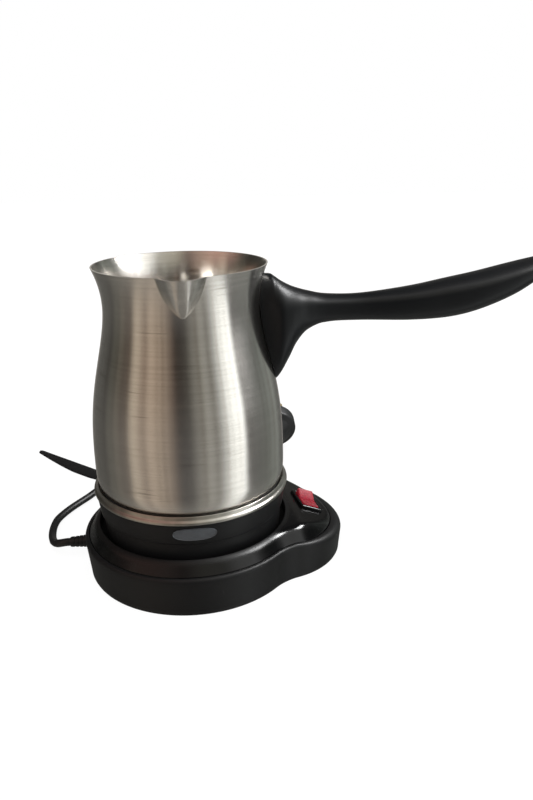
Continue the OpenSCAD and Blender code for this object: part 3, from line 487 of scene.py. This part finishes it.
# plug
plug = {
    "rise": 22.4, "radius": 18.5, "boot": 24, "length": 46, "neck": 3.45,
    "ribs": 7, "ribFrom": 2, "ribStep": 3, "ribGrow": 1.6,
}


def makePlug():
    place = Matrix.Translation(lead["plugAt"]) @ Matrix.Rotation(math.radians(plug["rise"] - 90), 4, "X")
    boot, length, radius = plug["boot"], plug["length"], plug["radius"]
    outline = [(axisGap, 0), (plug["neck"] - 0.3, 0)]
    # ribs round the cord's boot
    for k in range(plug["ribs"]):
        start = plug["ribFrom"] + k * plug["ribStep"]
        swell = plug["neck"] + plug["ribGrow"] * k / (plug["ribs"] - 1)
        outline += [(swell, start), (swell, start + 1.7), (swell - 0.9, start + 1.9), (swell - 0.8, start + 2.8)]
    outline += [(5.2, boot), (7.4, boot + 1.5), (9, boot + 5), (radius - 4, boot + 10.5),
                (radius - 0.8, boot + 12), (radius, boot + 13), (radius, length - 1), (radius - 1, length),
                (radius - 3, length), (radius - 3.2, length - 0.4), (axisGap, length - 0.4)]
    body = makeLathe("plugBody", roundOff(outline, 0.7, 3), 96, place)
    smoothByAngle(body, 40)
    return dress(body, "base", "plug_black", "plug_body")


plugBody = makePlug()

# strain relief
relief = {
    "at": (-57.825, 10, 7.4), "free": 13, "tip": 2.8, "root": 3.8, "inside": 10,
    "collar": 5.0, "collarAt": 5.2, "collarLength": 2, "ribs": 5, "ribStep": 2.2,
}


def makeRelief():
    place = Matrix.Translation(relief["at"]) @ Matrix.Rotation(math.radians(90), 4, "Y")
    free, tip, root = relief["free"], relief["tip"], relief["root"]
    outline = [(axisGap, -free), (tip - 0.1, -free)]
    for k in range(relief["ribs"]):
        start = -free + 1 + k * relief["ribStep"]
        swell = tip + (root - tip) * (k + 1) / (relief["ribs"] + 1)
        outline += [(swell, start), (swell, start + 1.5), (swell - 0.2, start + 1.6), (swell - 0.18, start + 2.1)]
    low, high = relief["collarAt"], relief["collarAt"] + relief["collarLength"]
    outline += [(root, -0.8), (root, low), (relief["collar"], low), (relief["collar"], high),
                (root, high), (root, relief["inside"]), (axisGap, relief["inside"])]
    return dress(makeLathe("cordRelief", roundOff(outline, 0.35, 3), 64, place), "base", "cord_black",
                 "cord_relief")


cordRelief = smoothByAngle(makeRelief(), 40)

# strap round the coil
strap = {
    "from": -41, "bendRadius": 43, "bend": 43, "run": 64, "taper": 51, "tip": 4.2,
    "width": 12, "thickness": 1.2, "middle": 103, "bandX": -30.9, "bandW": 16.3, "bandH": 10.3,
    "across": 8, "wave": 0.06,
}


def strapSpot(a, side, run=0.0):
    a = math.radians(a)
    radius = strap["bendRadius"] + side
    x = strap["from"] + radius * math.cos(a) + run * math.sin(a)
    y = strap["middle"] + strap["bendRadius"] + radius * math.sin(a) - run * math.cos(a)
    return x, y


def strapTail():
    # stations along the tail, each with its two edges
    half = strap["width"] / 2
    end = -90 - strap["bend"]
    start = strap["bandX"] - strap["bandW"] / 2 - 0.3
    stations = [((start, strap["middle"] - half), (start, strap["middle"] + half))]
    for i in range(15):
        a = -90 - strap["bend"] * i / 14
        stations.append((strapSpot(a, half), strapSpot(a, -half)))
    whole = strap["run"]
    for i in range(1, 41):
        run = whole * (1 - (1 - i / 40) ** 1.6)
        left = whole - run
        width = strap["tip"] + (2 * half - strap["tip"]) * (1 - max(0, 1 - left / strap["taper"]) ** 1.28)
        # the tip is cut round
        share = math.sqrt(max(0.003, 1 - max(0, 1 - 2 * left / strap["tip"]) ** 2))
        middle = -half + width / 2
        stations.append((strapSpot(end, middle + width / 2 * share, run),
                         strapSpot(end, middle - width / 2 * share, run)))
    return stations


def makeStrap():
    t = strap["thickness"]
    rings = []
    for i, (outer, inner) in enumerate(strapTail()):
        top, under = [], []
        # the tape lies flat, a little wavy, with thinner edges
        for k in range(strap["across"] + 1):
            s = k / strap["across"]
            x, y = outer[0] + (inner[0] - outer[0]) * s, outer[1] + (inner[1] - outer[1]) * s
            edge = 1 - (2 * s - 1) ** 6
            wave = strap["wave"] * math.sin(i * 0.9 + s * 3)
            top.append((x, y, t * (0.45 + 0.5 * edge) + wave * edge))
            under.append((x, y, t * 0.3 * (1 - edge)))
        rings.append(top + under[::-1])
    tail = makeLoft("strapTail", rings)
    # the band that goes round the bundle
    w, h = strap["bandW"], strap["bandH"]
    inside = roundOff([(-w / 2, t), (w / 2, t), (w / 2, t + h), (-w / 2, t + h)], 2.6, 6)
    wide, high = w / 2 + t, 2 * t + h
    outside = roundOff([(-wide, 0), (wide, 0), (wide, high), (-wide, high)], 3.4, 6)
    half = strap["width"] / 2
    rings = []
    for y, inset in ((-half, 0.3), (-half + 0.35, 0), (half - 0.35, 0), (half, 0.3)):
        rings.append([(strap["bandX"] + p[0] * (1 - inset / w), strap["middle"] + y, p[1]) for p in outside])
    for y, inset in ((half, 0.3), (half - 0.35, 0), (-half + 0.35, 0), (-half, 0.3)):
        rings.append([(strap["bandX"] + p[0] * (1 + inset / w), strap["middle"] + y, p[1]) for p in inside])
    band = makeLoft("strapBand", rings, closed=True)
    dress(band, "base", "strap_fabric", "lead_strap")
    return dress(tail, "base", "strap_fabric", "lead_strap")


makeStrap()
print("plug and strap made")

# jug
jug = {
    "rimRadius": 43.5, "rim": 165, "waistRadius": 39.4, "flare": 19, "bellyRadius": 50.4, "bellyRise": 10,
    "floor": 49.8, "floorRadius": 47.4, "sheet": 0.8, "power": 1.5, "steps": 256,
    "levels": 80,
}
spout = {"width": 26, "reach": 7.6, "lip": 10, "depth": 19, "sheet": 0.8, "levels": 22, "gap": 0.02}


def jugRadius(z):
    waist = jug["rim"] - jug["flare"]
    belly = jug["floor"] + jug["bellyRise"]
    if z > waist:
        return jug["waistRadius"] + (jug["rimRadius"] - jug["waistRadius"]) * ((z - waist) / jug["flare"]) ** 2
    u = max(0, (z - belly) / (waist - belly)) ** jug["power"]
    return jug["bellyRadius"] - (jug["bellyRadius"] - jug["waistRadius"]) * u * u * (3 - 2 * u)


# half outline from the floor's edge to the rim, moved in by inset
def jugSide(inset):
    rise, floor = jug["bellyRise"], jug["floor"]
    side = []
    for i in range(17):
        a = math.pi / 2 * i / 16
        side.append((jug["floorRadius"] - inset + (jug["bellyRadius"] - jug["floorRadius"]) * math.sin(a),
                     floor + inset + (rise - inset) * (1 - math.cos(a))))
    for i in range(1, jug["levels"] + 1):
        z = floor + rise + (jug["rim"] - floor - rise) * i / jug["levels"]
        side.append((jugRadius(z) - inset, z))
    return side


# the jug filled solid, moved in by inset and carried up past the rim, to cut with
def makeJugSolid(inset, over, steps):
    top = jug["rim"] + over
    outline = [(axisGap, jug["floor"] + inset)] + jugSide(inset)
    outline += [(jug["rimRadius"] - inset, top), (axisGap, top)]
    return makeLathe("cutter", outline, steps)


# the U that the spout stands in: its outline at each height, up to top above the rim
def spoutRings(inset, top):
    rings = []
    for i in range(spout["levels"] + 1):
        f = i / spout["levels"]
        z = jug["rim"] - spout["depth"] + 1.4 * inset + (spout["depth"] + top - 1.4 * inset) * f
        f = (z - jug["rim"] + spout["depth"]) / spout["depth"]
        front = -jug["waistRadius"] - 0.2 - (jug["rimRadius"] + spout["reach"] - jug["waistRadius"]) * f + inset
        lip = 1.0 + (spout["lip"] / 2 - 1.0) * max(0, f) ** 0.55 - inset * 0.6
        wide = 1.3 + (spout["width"] / 2 - 1.3) * max(0, f) ** 0.5 - inset * 1.2
        back = -jug["waistRadius"] + 3.2 - (jug["rimRadius"] - jug["waistRadius"]) * f
        half = [(-wide, back), (-lip, front), (lip, front), (wide, back)]
        # corners rounded like folded sheet
        ring = roundOff(half, 3.4 * max(0, f) + 0.5, 6)
        rings.append([(p[0], p[1], z) for p in ring])
    return rings


def makeJug():
    side = jugSide(0)
    inner = jugSide(jug["sheet"])[::-1]
    rim = [(jug["rimRadius"] - inset, jug["rim"]) for inset in (0.1, jug["sheet"] / 2, jug["sheet"] - 0.1)]
    outline = [(axisGap, jug["floor"])] + side + rim + inner + [(axisGap, jug["floor"] + jug["sheet"])]
    shell = makeLathe("jugShell", outline, jug["steps"])
    cutWith(shell, makeLoft("cutter", spoutRings(spout["sheet"], 2.0)))
    smoothByAngle(shell, 50)
    dress(shell, "jug", "jug_steel", "jug_body")
    fold = makeLoft("pourSpout", spoutRings(0, 0.0))
    inside = makeLoft("cutter", spoutRings(spout["sheet"], 1.0))
    cutWith(fold, inside, makeJugSolid(spout["gap"], 2.0, 128))
    smoothByAngle(fold, 35)
    return dress(fold, "jug", "jug_steel", "pour_spout")


makeJug()
print("jug made")

# jug foot
foot = {
    "bottom": 22.8, "ringBottom": 46.6, "ringHeight": 2.6, "ringRadius": 52.5, "skirt": 51.4, "step": 49.9,
    "stepHeight": 12.2, "toe": 48.3, "wall": 2.2, "cup": 15.6, "plateWidth": 22, "plateHeight": 7,
}


def makeFoot():
    low, high = foot["ringBottom"], foot["ringBottom"] + foot["ringHeight"]
    r = foot["ringRadius"]
    # rolled ring with a fine groove over it
    ring = [(48.6, low), (r - 1.5, low), (r - 0.5, low + 0.3), (r - 0.1, low + 1.2), (r - 0.4, low + 2.1),
            (r - 1.2, high), (r - 1.7, high + 1.1), (r - 2.1, high + 2.0), (r - 2.7, high + 1.7),
            (r - 3.2, high), (48.6, high)]
    trim = makeLathe("trimRing", roundOff(ring, 0.5, 4), 224)
    dress(smoothByAngle(trim, 45), "jug", "trim_chrome", "bottom_ring")
    step = foot["bottom"] + foot["stepHeight"]
    bottom, toe, wall, cup = foot["bottom"], foot["toe"], foot["wall"], foot["cup"]
    skirt = [(cup, bottom), (toe - 0.8, bottom), (toe, bottom + 0.8), (toe, step), (foot["step"], step + 0.7),
             (foot["skirt"], low), (foot["skirt"] - wall, low), (foot["step"] - wall, step + 1.2),
             (toe - wall, step), (toe - wall, bottom + wall), (cup, bottom + wall)]
    body = makeLathe("footSkirt", roundOff(skirt, 0.4, 3), 224)
    dress(smoothByAngle(body, 40), "jug", "satin_black", "jug_skirt")
    return makeNamePlate(step)


def makeNamePlate(step):
    # blank oval plate with a raised lip, bent round the skirt
    middle = foot["ringBottom"] - 1.4 - foot["plateHeight"] / 2
    lean = (foot["skirt"] - foot["step"]) / (foot["ringBottom"] - step - 0.7)
    rings = []
    for scale, proud in ((1.0, -0.3), (1.0, 0.35), (0.985, 0.5), (0.95, 0.56), (0.925, 0.5), (0.9, 0.3),
                         (0.86, 0.26), (0.5, 0.27), (0.02, 0.27)):
        long = foot["plateWidth"] / 2 * (1 - (1 - scale) * (0.35 if scale > 0.8 else 1))
        tall = foot["plateHeight"] / 2 * scale
        ring = []
        for k in range(96):
            a = 2 * math.pi * k / 96
            x = math.copysign(abs(math.cos(a)) ** 0.72, math.cos(a)) * long
            z = middle + math.copysign(abs(math.sin(a)) ** 0.86, math.sin(a)) * tall
            r = foot["step"] + lean * (z - step - 0.7) + proud
            turn = x / foot["skirt"]
            ring.append((r * math.sin(turn), -r * math.cos(turn), z))
        rings.append(ring)
    plate = makeLoft("namePlate", rings)
    return dress(smoothByAngle(plate, 50), "jug", "plate_grey", "name_plate")


makeFoot()
print("foot made")

# handle
# stations: distance from the axis, underside, top, width
handle = {
    "stations": [
        (35, 101, 158.5, 14.9), (44, 101, 158.5, 23), (47, 103, 157, 25.6), (50, 107, 154.8, 27),
        (54, 114.5, 152.5, 25.6), (58, 122.5, 150.8, 23.2), (64, 129, 149, 19.4), (74, 132.4, 147, 16.2),
        (92, 132.6, 146.6, 15), (118, 131.6, 149.2, 20), (139, 132.4, 152.8, 23.5), (155, 135.8, 155.6, 25),
        (172, 142.4, 159.2, 24), (185, 150, 161.8, 20), (195, 156.2, 163.4, 13.75), (200, 160, 163, 5)],
    "ridge": 0.62, "sides": 64, "steps": 8, "gap": 0.15, "screwAt": 70, "screwHole": 4, "screwFloor": 135.9,
}


def handleRing(q):
    ring = []
    for i in range(handle["sides"]):
        a = 2 * math.pi * i / handle["sides"]
        c, s = math.cos(a), math.sin(a)
        ridge = q[1] + (q[2] - q[1]) * handle["ridge"]
        rise = q[2] - ridge if s > 0 else ridge - q[1]
        ring.append((q[0], q[3] / 2 * math.copysign(abs(c) ** (1 if s > 0 else 0.9), c),
                     ridge + rise * math.copysign(abs(s) ** 0.85, s)))
    return ring


def makeHandle():
    line = curveThrough([Vector(q[:3]).to_4d() for q in handle["stations"]], handle["steps"])
    wide = curveThrough([(q[3], 0, 0) for q in handle["stations"]], handle["steps"])
    grip = makeLoft("handleGrip", [handleRing((p[0], p[1], p[2], w[0])) for p, w in zip(line, wide)])
    bore, floor, under = handle["screwHole"], handle["screwFloor"], 110
    hole = makeLathe("cutter", [(axisGap, under), (bore, under), (bore, floor), (axisGap, floor)], 64,
                     Matrix.Translation((handle["screwAt"], 0, 0)))
    cutWith(grip, makeJugSolid(-handle["gap"], 20.0, jug["steps"]), hole)
    smoothByAngle(grip, 48)
    return dress(grip, "jug", "handle_black", "handle_grip")


makeHandle()
print("handle made")

# base
base = {
    "radius": 58, "lobeRadius": 40.3, "lobeAt": 43.5, "blend": 32, "turn": 7.5,
    "lean": 1.8, "leanOver": 19.5, "wallTop": 21.5, "fallFrom": 48, "wallFall": 0.137,
    "pinchFrom": 46, "pinchTo": 84, "pinch": 4.3, "shoulder": 2.2,
    "deck": 28, "deckFallFrom": 54, "deckFall": 0.42, "deckSlope": 1.45, "crest": 3.2, "deckSheet": 1.1,
    "well": 51.2, "wellFloor": 22.5, "tower": 15.2, "deckRings": 44,
}
nearSum = base["radius"] + base["blend"]
farSum = base["lobeRadius"] + base["blend"]
blendX = (nearSum ** 2 - farSum ** 2 + base["lobeAt"] ** 2) / (2 * base["lobeAt"])
blendY = math.sqrt(nearSum ** 2 - blendX ** 2)
blendFrom = math.pi - math.atan2(blendY, blendX)
blendTo = math.atan2(blendY, base["lobeAt"] - blendX)


# outline of the base along the lobe's own axis
def baseOutline():
    lobe, blend = base["lobeRadius"], base["blend"]
    arcs = [((0, 0), base["radius"], math.pi - blendFrom, math.pi + blendFrom, 150),
            ((blendX, -blendY), blend, blendFrom, blendTo, 22),
            ((base["lobeAt"], 0), lobe, blendTo - math.pi, math.pi - blendTo, 94),
            ((blendX, blendY), blend, -blendTo, -blendFrom, 22)]
    points = []
    for centre, radius, a0, a1, count in arcs:
        for i in range(count):
            a = a0 + (a1 - a0) * i / count
            points.append((centre[0] + radius * math.cos(a), centre[1] + radius * math.sin(a)))
    return points


def turnBase(x, y, z):
    a = math.radians(base["turn"])
    return (x * math.cos(a) - y * math.sin(a), x * math.sin(a) + y * math.cos(a), z)


# height of the seam under the deck, and how far it stands in, at a place along the lobe
def seamHeight(x):
    return base["wallTop"] - base["wallFall"] * max(0, x - base["fallFrom"])


def pinchAt(x):
    return riseBetween(base["pinchFrom"], base["pinchTo"], x)


def seamInset(x):
    return 0.3 + base["pinch"] * pinchAt(x)


def makeWall():
    still = baseOutline()

    def levelRing(offsetOf, heightOf):
        ring = []
        for j, (x, y) in enumerate(still):
            # moves the point along the outline's own normal
            ahead, back = still[(j + 1) % len(still)], still[j - 1]
            normal = Vector((ahead[1] - back[1], back[0] - ahead[0])).normalized()
            off = offsetOf(x)
            ring.append(turnBase(x + normal.x * off, y + normal.y * off, heightOf(x)))
        return ring

    def shoulder(x):
        return seamHeight(x) - base["shoulder"] * (1 + pinchAt(x))

    def leanAt(z):
        return base["lean"] * z / base["leanOver"]

    rings = [levelRing(lambda x: -2.4, lambda x: 0), levelRing(lambda x: -0.7, lambda x: 0),
             levelRing(lambda x: -0.2, lambda x: 0.15), levelRing(lambda x: 0.05, lambda x: 0.7)]
    for k in range(1, 9):
        f = k / 8
        rings.append(levelRing(lambda x: leanAt(shoulder(x) * f), lambda x: 0.7 + (shoulder(x) - 0.7) * f))
    for k in range(1, 13):
        a = math.pi / 2 * k / 12
        rings.append(levelRing(
            lambda x: -seamInset(x) + (leanAt(shoulder(x)) + seamInset(x)) * math.cos(a) ** 0.9,
            lambda x: shoulder(x) + (seamHeight(x) - shoulder(x)) * math.sin(a)))
    for inset, drop in ((0.12, 0.12), (0.2, 1.6), (2.6, 1.6), (2.6, 3.2)):
        rings.append(levelRing(lambda x: -seamInset(x) - inset, lambda x: seamHeight(x) - drop))
    for off, z in ((-3.0, 8.0), (-3.0, 3.2), (-2.4, 3.2)):
        rings.append(levelRing(lambda x: off, lambda x: z))
    wall = makeLoft("baseWall", rings, closed=True)
    return dress(smoothByAngle(wall, 40), "base", "satin_black", "base_body")


# distance of a place from the outline, measured inwards
def insideBy(x, y):
    y = abs(y)
    toBlend = Vector((x - blendX, y - blendY))
    onBase = x * blendY - y * blendX < 0
    onLobe = (x - base["lobeAt"]) * blendY - y * (blendX - base["lobeAt"]) > 0
    if onBase or x < 0:
        return base["radius"] - math.hypot(x, y)
    if onLobe:
        return base["lobeRadius"] - math.hypot(x - base["lobeAt"], y)
    return toBlend.length - base["blend"]


def deckHeight(x, y):
    inside = insideBy(x, y) - seamInset(x) - 0.5
    slope = seamHeight(x) + 0.2 + inside * base["deckSlope"]
    top = base["deck"] - base["deckFall"] * softMax(x - base["deckFallFrom"], 0, 3)
    return softMin(slope, top, base["crest"])


def makeDeck():
    outline = baseOutline()
    well = base["well"]
    rings = []
    edge = []
    for j, (x, y) in enumerate(outline):
        ahead, back = outline[(j + 1) % len(outline)], outline[j - 1]
        normal = Vector((ahead[1] - back[1], back[0] - ahead[0])).normalized()
        edge.append((x, y, normal, seamInset(x) + 0.35))
    for drop in (1.4, 0.1):
        rings.append([turnBase(x - n.x * i, y - n.y * i, seamHeight(x) - drop) for x, y, n, i in edge])
    for k in range(base["deckRings"] + 1):
        s = (k / base["deckRings"]) ** 1.25
        ring = []
        for x, y, n, inset in edge:
            ex, ey = x - n.x * (inset + 0.2), y - n.y * (inset + 0.2)
            a = math.atan2(ey, ex)
            px = ex + ((well + 0.35) * math.cos(a) - ex) * s
            py = ey + ((well + 0.35) * math.sin(a) - ey) * s
            ring.append(turnBase(px, py, deckHeight(px, py)))
        rings.append(ring)
    angles = [math.atan2(y - n.y * i, x - n.x * i) for x, y, n, i in edge]
    top = base["deck"] - 0.05
    for r, z in ((well + 0.12, top - 0.12), (well, top - 0.4), (well - 0.25, base["wellFloor"] + 0.9),
                 (well - 0.5, base["wellFloor"] + 0.3), (well - 1.1, base["wellFloor"]), (40, base["wellFloor"]),
                 (28, base["wellFloor"]), (base["tower"] + 0.4, base["wellFloor"]),
                 (base["tower"], base["wellFloor"] - 0.4), (base["tower"], base["wellFloor"] - 2.4)):
        rings.append([turnBase(r * math.cos(a), r * math.sin(a), z) for a in angles])
    points = [p for ring in rings for p in ring]
    across = len(outline)
    faces = []
    for i in range(len(rings) - 1):
        for j in range(across):
            k = (j + 1) % across
            faces.append((i * across + j, i * across + k, (i + 1) * across + k, (i + 1) * across + j))
    deck = makePiece("topDeck", points, faces)
    thick = deck.modifiers.new("thick", "SOLIDIFY")
    thick.thickness = base["deckSheet"] * mm
    thick.offset = -1
    bakeDown(deck)
    cutWith(deck, makeSwitchBox(*switch["cutout"]))
    return dress(smoothByAngle(deck, 40), "base", "gloss_black", "top_deck")


# switch
switch = {
    "at": 66, "bezelWidth": 14, "bezelLength": 21, "bezelHeight": 1.6, "openWidth": 10.4, "openLength": 17.2,
    "rockerWidth": 9.8, "rockerLength": 16, "pivot": -0.5, "tilt": 10, "top": 3.9, "dip": 2.4, "middle": 0.6,
    # the hole in the deck: width, length, from, to and corner
    "cutout": (12.6, 19.0, -14, 6, 0.8),
}


def switchPlace():
    slope = math.atan(base["deckFall"])
    height = base["deck"] - base["deckFall"] * (switch["at"] - base["deckFallFrom"])
    return (Matrix.Rotation(math.radians(base["turn"]), 4, "Z") @ Matrix.Translation((switch["at"], 0, height))
            @ Matrix.Rotation(slope, 4, "Y"))


def roundedRect(width, length, corner, steps=6):
    ring = []
    for cx, cy, start in ((1, 1, 0), (-1, 1, 90), (-1, -1, 180), (1, -1, 270)):
        for k in range(steps + 1):
            a = math.radians(start + 90 * k / steps)
            ring.append((cx * (width / 2 - corner) + corner * math.cos(a),
                         cy * (length / 2 - corner) + corner * math.sin(a)))
    return ring


def makeSwitchBox(width, length, low, high, corner):
    place = switchPlace()
    ring = roundedRect(width, length, corner)
    return makeLoft("cutter", [[place @ Vector((x, y, z)) for x, y in ring] for z in (low, high)])


def makeSwitch():
    place = switchPlace()
    w, l, h = switch["bezelWidth"], switch["bezelLength"], switch["bezelHeight"]
    ow, ol = switch["openWidth"], switch["openLength"]
    levels = [(12.4, 18.8, 0.5, -11), (12.4, 18.8, 0.5, 0.0), (w - 0.2, l - 0.2, 1.3, 0.0), (w, l, 1.4, 0.25),
              (w, l, 1.4, h - 0.7), (w - 0.3, l - 0.3, 1.3, h - 0.25), (w - 1.0, l - 1.0, 1.1, h),
              (ow + 1.0, ol + 1.0, 0.9, h), (ow + 0.3, ol + 0.3, 0.6, h - 0.3), (ow, ol, 0.5, h - 0.8),
              (ow, ol, 0.5, -9.8)]
    rings = [[place @ Vector((x, y, z)) for x, y in roundedRect(a, b, c)] for a, b, c, z in levels]
    housing = makeLoft("switchHousing", rings)
    dress(smoothByAngle(housing, 40), "base", "gloss_black", "switch_housing")
    # the rocker is a shallow V from the side, with rounded edges
    half = switch["rockerLength"] / 2
    side = [(-half, -2.2), (-half + 0.05, switch["top"] - 0.9)]
    for k in range(25):
        s = -1 + k / 12
        side.append((s * (half - 0.5), switch["dip"] + (switch["top"] - switch["dip"]) * abs(s) ** 1.25))
    side += [(half - 0.05, switch["top"] - 0.9), (half, -2.2), (3, -3), (-3, -3)]
    tilt = Matrix.Rotation(math.radians(switch["tilt"]), 4, "X")
    rock = place @ Matrix.Translation((0, 0, switch["pivot"])) @ tilt
    rings = []
    middle = switch["middle"]
    for x, inset in ((-1, 1.0), (-0.985, 0.55), (-0.93, 0.2), (-0.84, 0.04), (-0.7, 0), (0, 0.0), (0.7, 0),
                     (0.84, 0.04), (0.93, 0.2), (0.985, 0.55), (1, 1.0)):
        shrink = 1 - inset / 6
        ring = []
        for y, z in side:
            ring.append(rock @ Vector((x * switch["rockerWidth"] / 2, y * (1 - inset / 14),
                                       middle + (z - middle) * shrink)))
        rings.append(ring)
    rocker = makeLoft("redRocker", rings)
    return dress(smoothByAngle(rocker, 46), "rocker", "rocker_red", "rocker_button")


makeWall()
makeDeck()
makeSwitch()
print("base and switch made")

# finishes of the pieces that keep their CAD shape
for name, node in frame["nodes"].items():
    if name not in replaced:
        finish = finishes[slotOf[name]]
        for holder in node.material_slots:
            holder.material = finish

# floor, world and lights
stage = {
    "floor": (0.86, 0.86, 0.86, 1), "glow": 0.85, "clear": 0.9, "sky": 0.6, "bands": 46.0,
    "table": (0.36, 0.355, 0.33, 1), "white": 1.09, "reach": 3000, "below": -0.05,
}
# what the steel mirrors, by direction: soft panels round the room
panels = [
    (0.0, (0.17, 0.15, 0.12)), (0.03, (0.11, 0.085, 0.068)), (0.06, (0.66, 0.57, 0.45)),
    (0.095, (0.40, 0.315, 0.245)), (0.13, (0.60, 0.49, 0.38)), (0.17, (0.44, 0.355, 0.275)),
    (0.20, (0.16, 0.12, 0.095)), (0.22, (0.02, 0.015, 0.012)), (0.25, (0.04, 0.036, 0.032)),
    (0.30, (0.36, 0.355, 0.32)), (0.355, (0.40, 0.405, 0.385)), (0.388, (1.5, 1.56, 1.54)),
    (0.41, (1.9, 2.0, 2.0)), (0.433, (2.3, 2.42, 2.46)), (0.447, (0.02, 0.02, 0.018)),
    (0.50, (0.045, 0.056, 0.05)), (0.55, (0.13, 0.152, 0.138)), (0.61, (0.26, 0.29, 0.27)),
    (0.67, (0.04, 0.04, 0.038)), (0.75, (0.62, 0.60, 0.56)), (0.83, (0.08, 0.08, 0.07)),
    (0.92, (0.035, 0.034, 0.027)), (0.965, (0.10, 0.097, 0.076)), (1.0, (0.17, 0.15, 0.12)),
]
# the same higher up, which only the inside of the rim mirrors
upperPanels = [
    (0.0, (0.5, 0.3, 0.25)), (0.09, (0.66, 0.4, 0.33)), (0.16, (0.5, 0.36, 0.3)), (0.21, (0.26, 0.2, 0.17)),
    (0.27, (0.6, 0.57, 0.48)), (0.34, (0.62, 0.61, 0.54)), (0.38, (1.4, 1.4, 1.36)), (0.44, (1.5, 1.5, 1.46)),
    (0.48, (0.12, 0.12, 0.11)), (0.56, (0.06, 0.06, 0.06)), (0.94, (0.06, 0.06, 0.06)), (1.0, (0.5, 0.3, 0.25)),
]


def rayKinds(book):
    ray = book.tree.nodes.new("ShaderNodeLightPath")
    return [Wire(book, ray.outputs["Is %s Ray" % kind]) for kind in ("Camera", "Glossy", "Transmission")]


def makeFloor():
    reach = stage["reach"]
    corners = [(x * reach, y * reach, stage["below"]) for x, y in ((-1, -1), (1, -1), (1, 1), (-1, 1))]
    floor = makePiece("floor", corners, [(0, 1, 2, 3)], False)
    material = bpy.data.materials.new("paleFloor")
    material.use_nodes = True
    book = NodeBook(material.node_tree)
    direct, glossy, through = rayKinds(book)
    paper = book.node("ShaderNodeBsdfDiffuse", {}, {"Color": stage["floor"], "Roughness": 1.0})
    white = book.node("ShaderNodeEmission", {}, {"Color": (1, 1, 1, 1), "Strength": stage["white"]})
    clear = book.node("ShaderNodeBsdfTransparent")
    seen = book.node("ShaderNodeMixShader", {}, {0: direct * stage["glow"] + through * 0.5, 1: paper, 2: white})
    mixed = book.node("ShaderNodeMixShader", {}, {0: glossy * stage["clear"], 1: seen, 2: clear})
    book.node("ShaderNodeOutputMaterial", {}, {"Surface": mixed})
    floor.data.materials.append(material)


def makeWorld():
    world = bpy.data.worlds.new("paleRoom")
    bpy.context.scene.world = world
    world.use_nodes = True
    book = NodeBook(world.node_tree)
    direct, glossy, through = rayKinds(book)
    toward = book.node("ShaderNodeTexCoord")
    turn = book.node("ShaderNodeTexGradient", {"gradient_type": "RADIAL"}, {"Vector": toward}, 1)
    rings = []
    for ring in (panels, upperPanels):
        stops = [(place, (*colour, 1)) for place, colour in ring]
        rings.append(book.node("ShaderNodeValToRGB", {"stops": stops}, {"Fac": turn}))
    height = book.node("ShaderNodeSeparateXYZ", {}, {0: toward}, 2)
    # narrow uneven bands, as curtains and furniture give
    streak = book.node("ShaderNodeTexNoise", {"noise_dimensions": "1D"},
                       {"W": turn, "Scale": stage["bands"], "Detail": 4.0, "Roughness": 0.65})
    dimmed = book.node("ShaderNodeVectorMath", {"operation": "MULTIPLY"}, {0: rings[0], 1: (0.42, 0.38, 0.34)})
    middle = book.blendColour(book.ramp(streak, 0.46, 0.60) * 0.8, rings[0], dimmed)
    # lower down the pale table takes over
    lower = book.blendColour(book.ramp(0 - height, 0.42, 0.8) * 0.5, middle, stage["table"])
    walls = book.blendColour(book.ramp(height, 0.3, 0.5), lower, rings[1])
    room = book.node("ShaderNodeBackground", {}, {"Color": walls, "Strength": 1.0})
    sky = book.node("ShaderNodeBackground", {}, {"Color": (1.0, 0.985, 0.96, 1), "Strength": stage["sky"]})
    white = book.node("ShaderNodeBackground", {}, {"Color": (1, 1, 1, 1), "Strength": 1.0})
    mirrored = book.node("ShaderNodeMixShader", {}, {0: glossy, 1: sky, 2: room})
    mixed = book.node("ShaderNodeMixShader", {}, {0: direct + through, 1: mirrored, 2: white})
    book.node("ShaderNodeOutputWorld", {}, {"Surface": mixed})


lamps = {
    "windowRight": {"place": (1.05, -0.62, 0.55), "size": (0.22, 1.3), "power": 5, "colour": (0.98, 1, 0.98)},
    "deckGlint": {"place": (0.85, 0.06, 0.85), "size": (0.5, 0.3), "power": 26, "colour": (1, 1, 1)},
    "softLeft": {"place": (-1.1, -0.7, 1.1), "size": (0.9, 0.9), "power": 4, "colour": (1, 0.93, 0.84)},
    "overhead": {"place": (0.1, 0.1, 1.5), "size": (1.2, 1.2), "power": 7, "colour": (1, 1, 1)},
}


def makeLamps():
    for name, lamp in lamps.items():
        data = bpy.data.lights.new(name, "AREA")
        data.shape = "RECTANGLE"
        data.size, data.size_y = lamp["size"]
        data.energy = lamp["power"]
        data.color = lamp["colour"]
        light = bpy.data.objects.new(name, data)
        light.location = lamp["place"]
        light.visible_glossy = name == "deckGlint"
        light.visible_diffuse = name != "deckGlint"
        aim = Vector((0, 0, 0.08)) - Vector(lamp["place"])
        light.rotation_euler = aim.to_track_quat("-Z", "Y").to_euler()
        bpy.context.scene.collection.objects.link(light)


makeFloor()
makeWorld()
makeLamps()
bpy.context.scene.view_settings.view_transform = "Standard"

print("scene made")
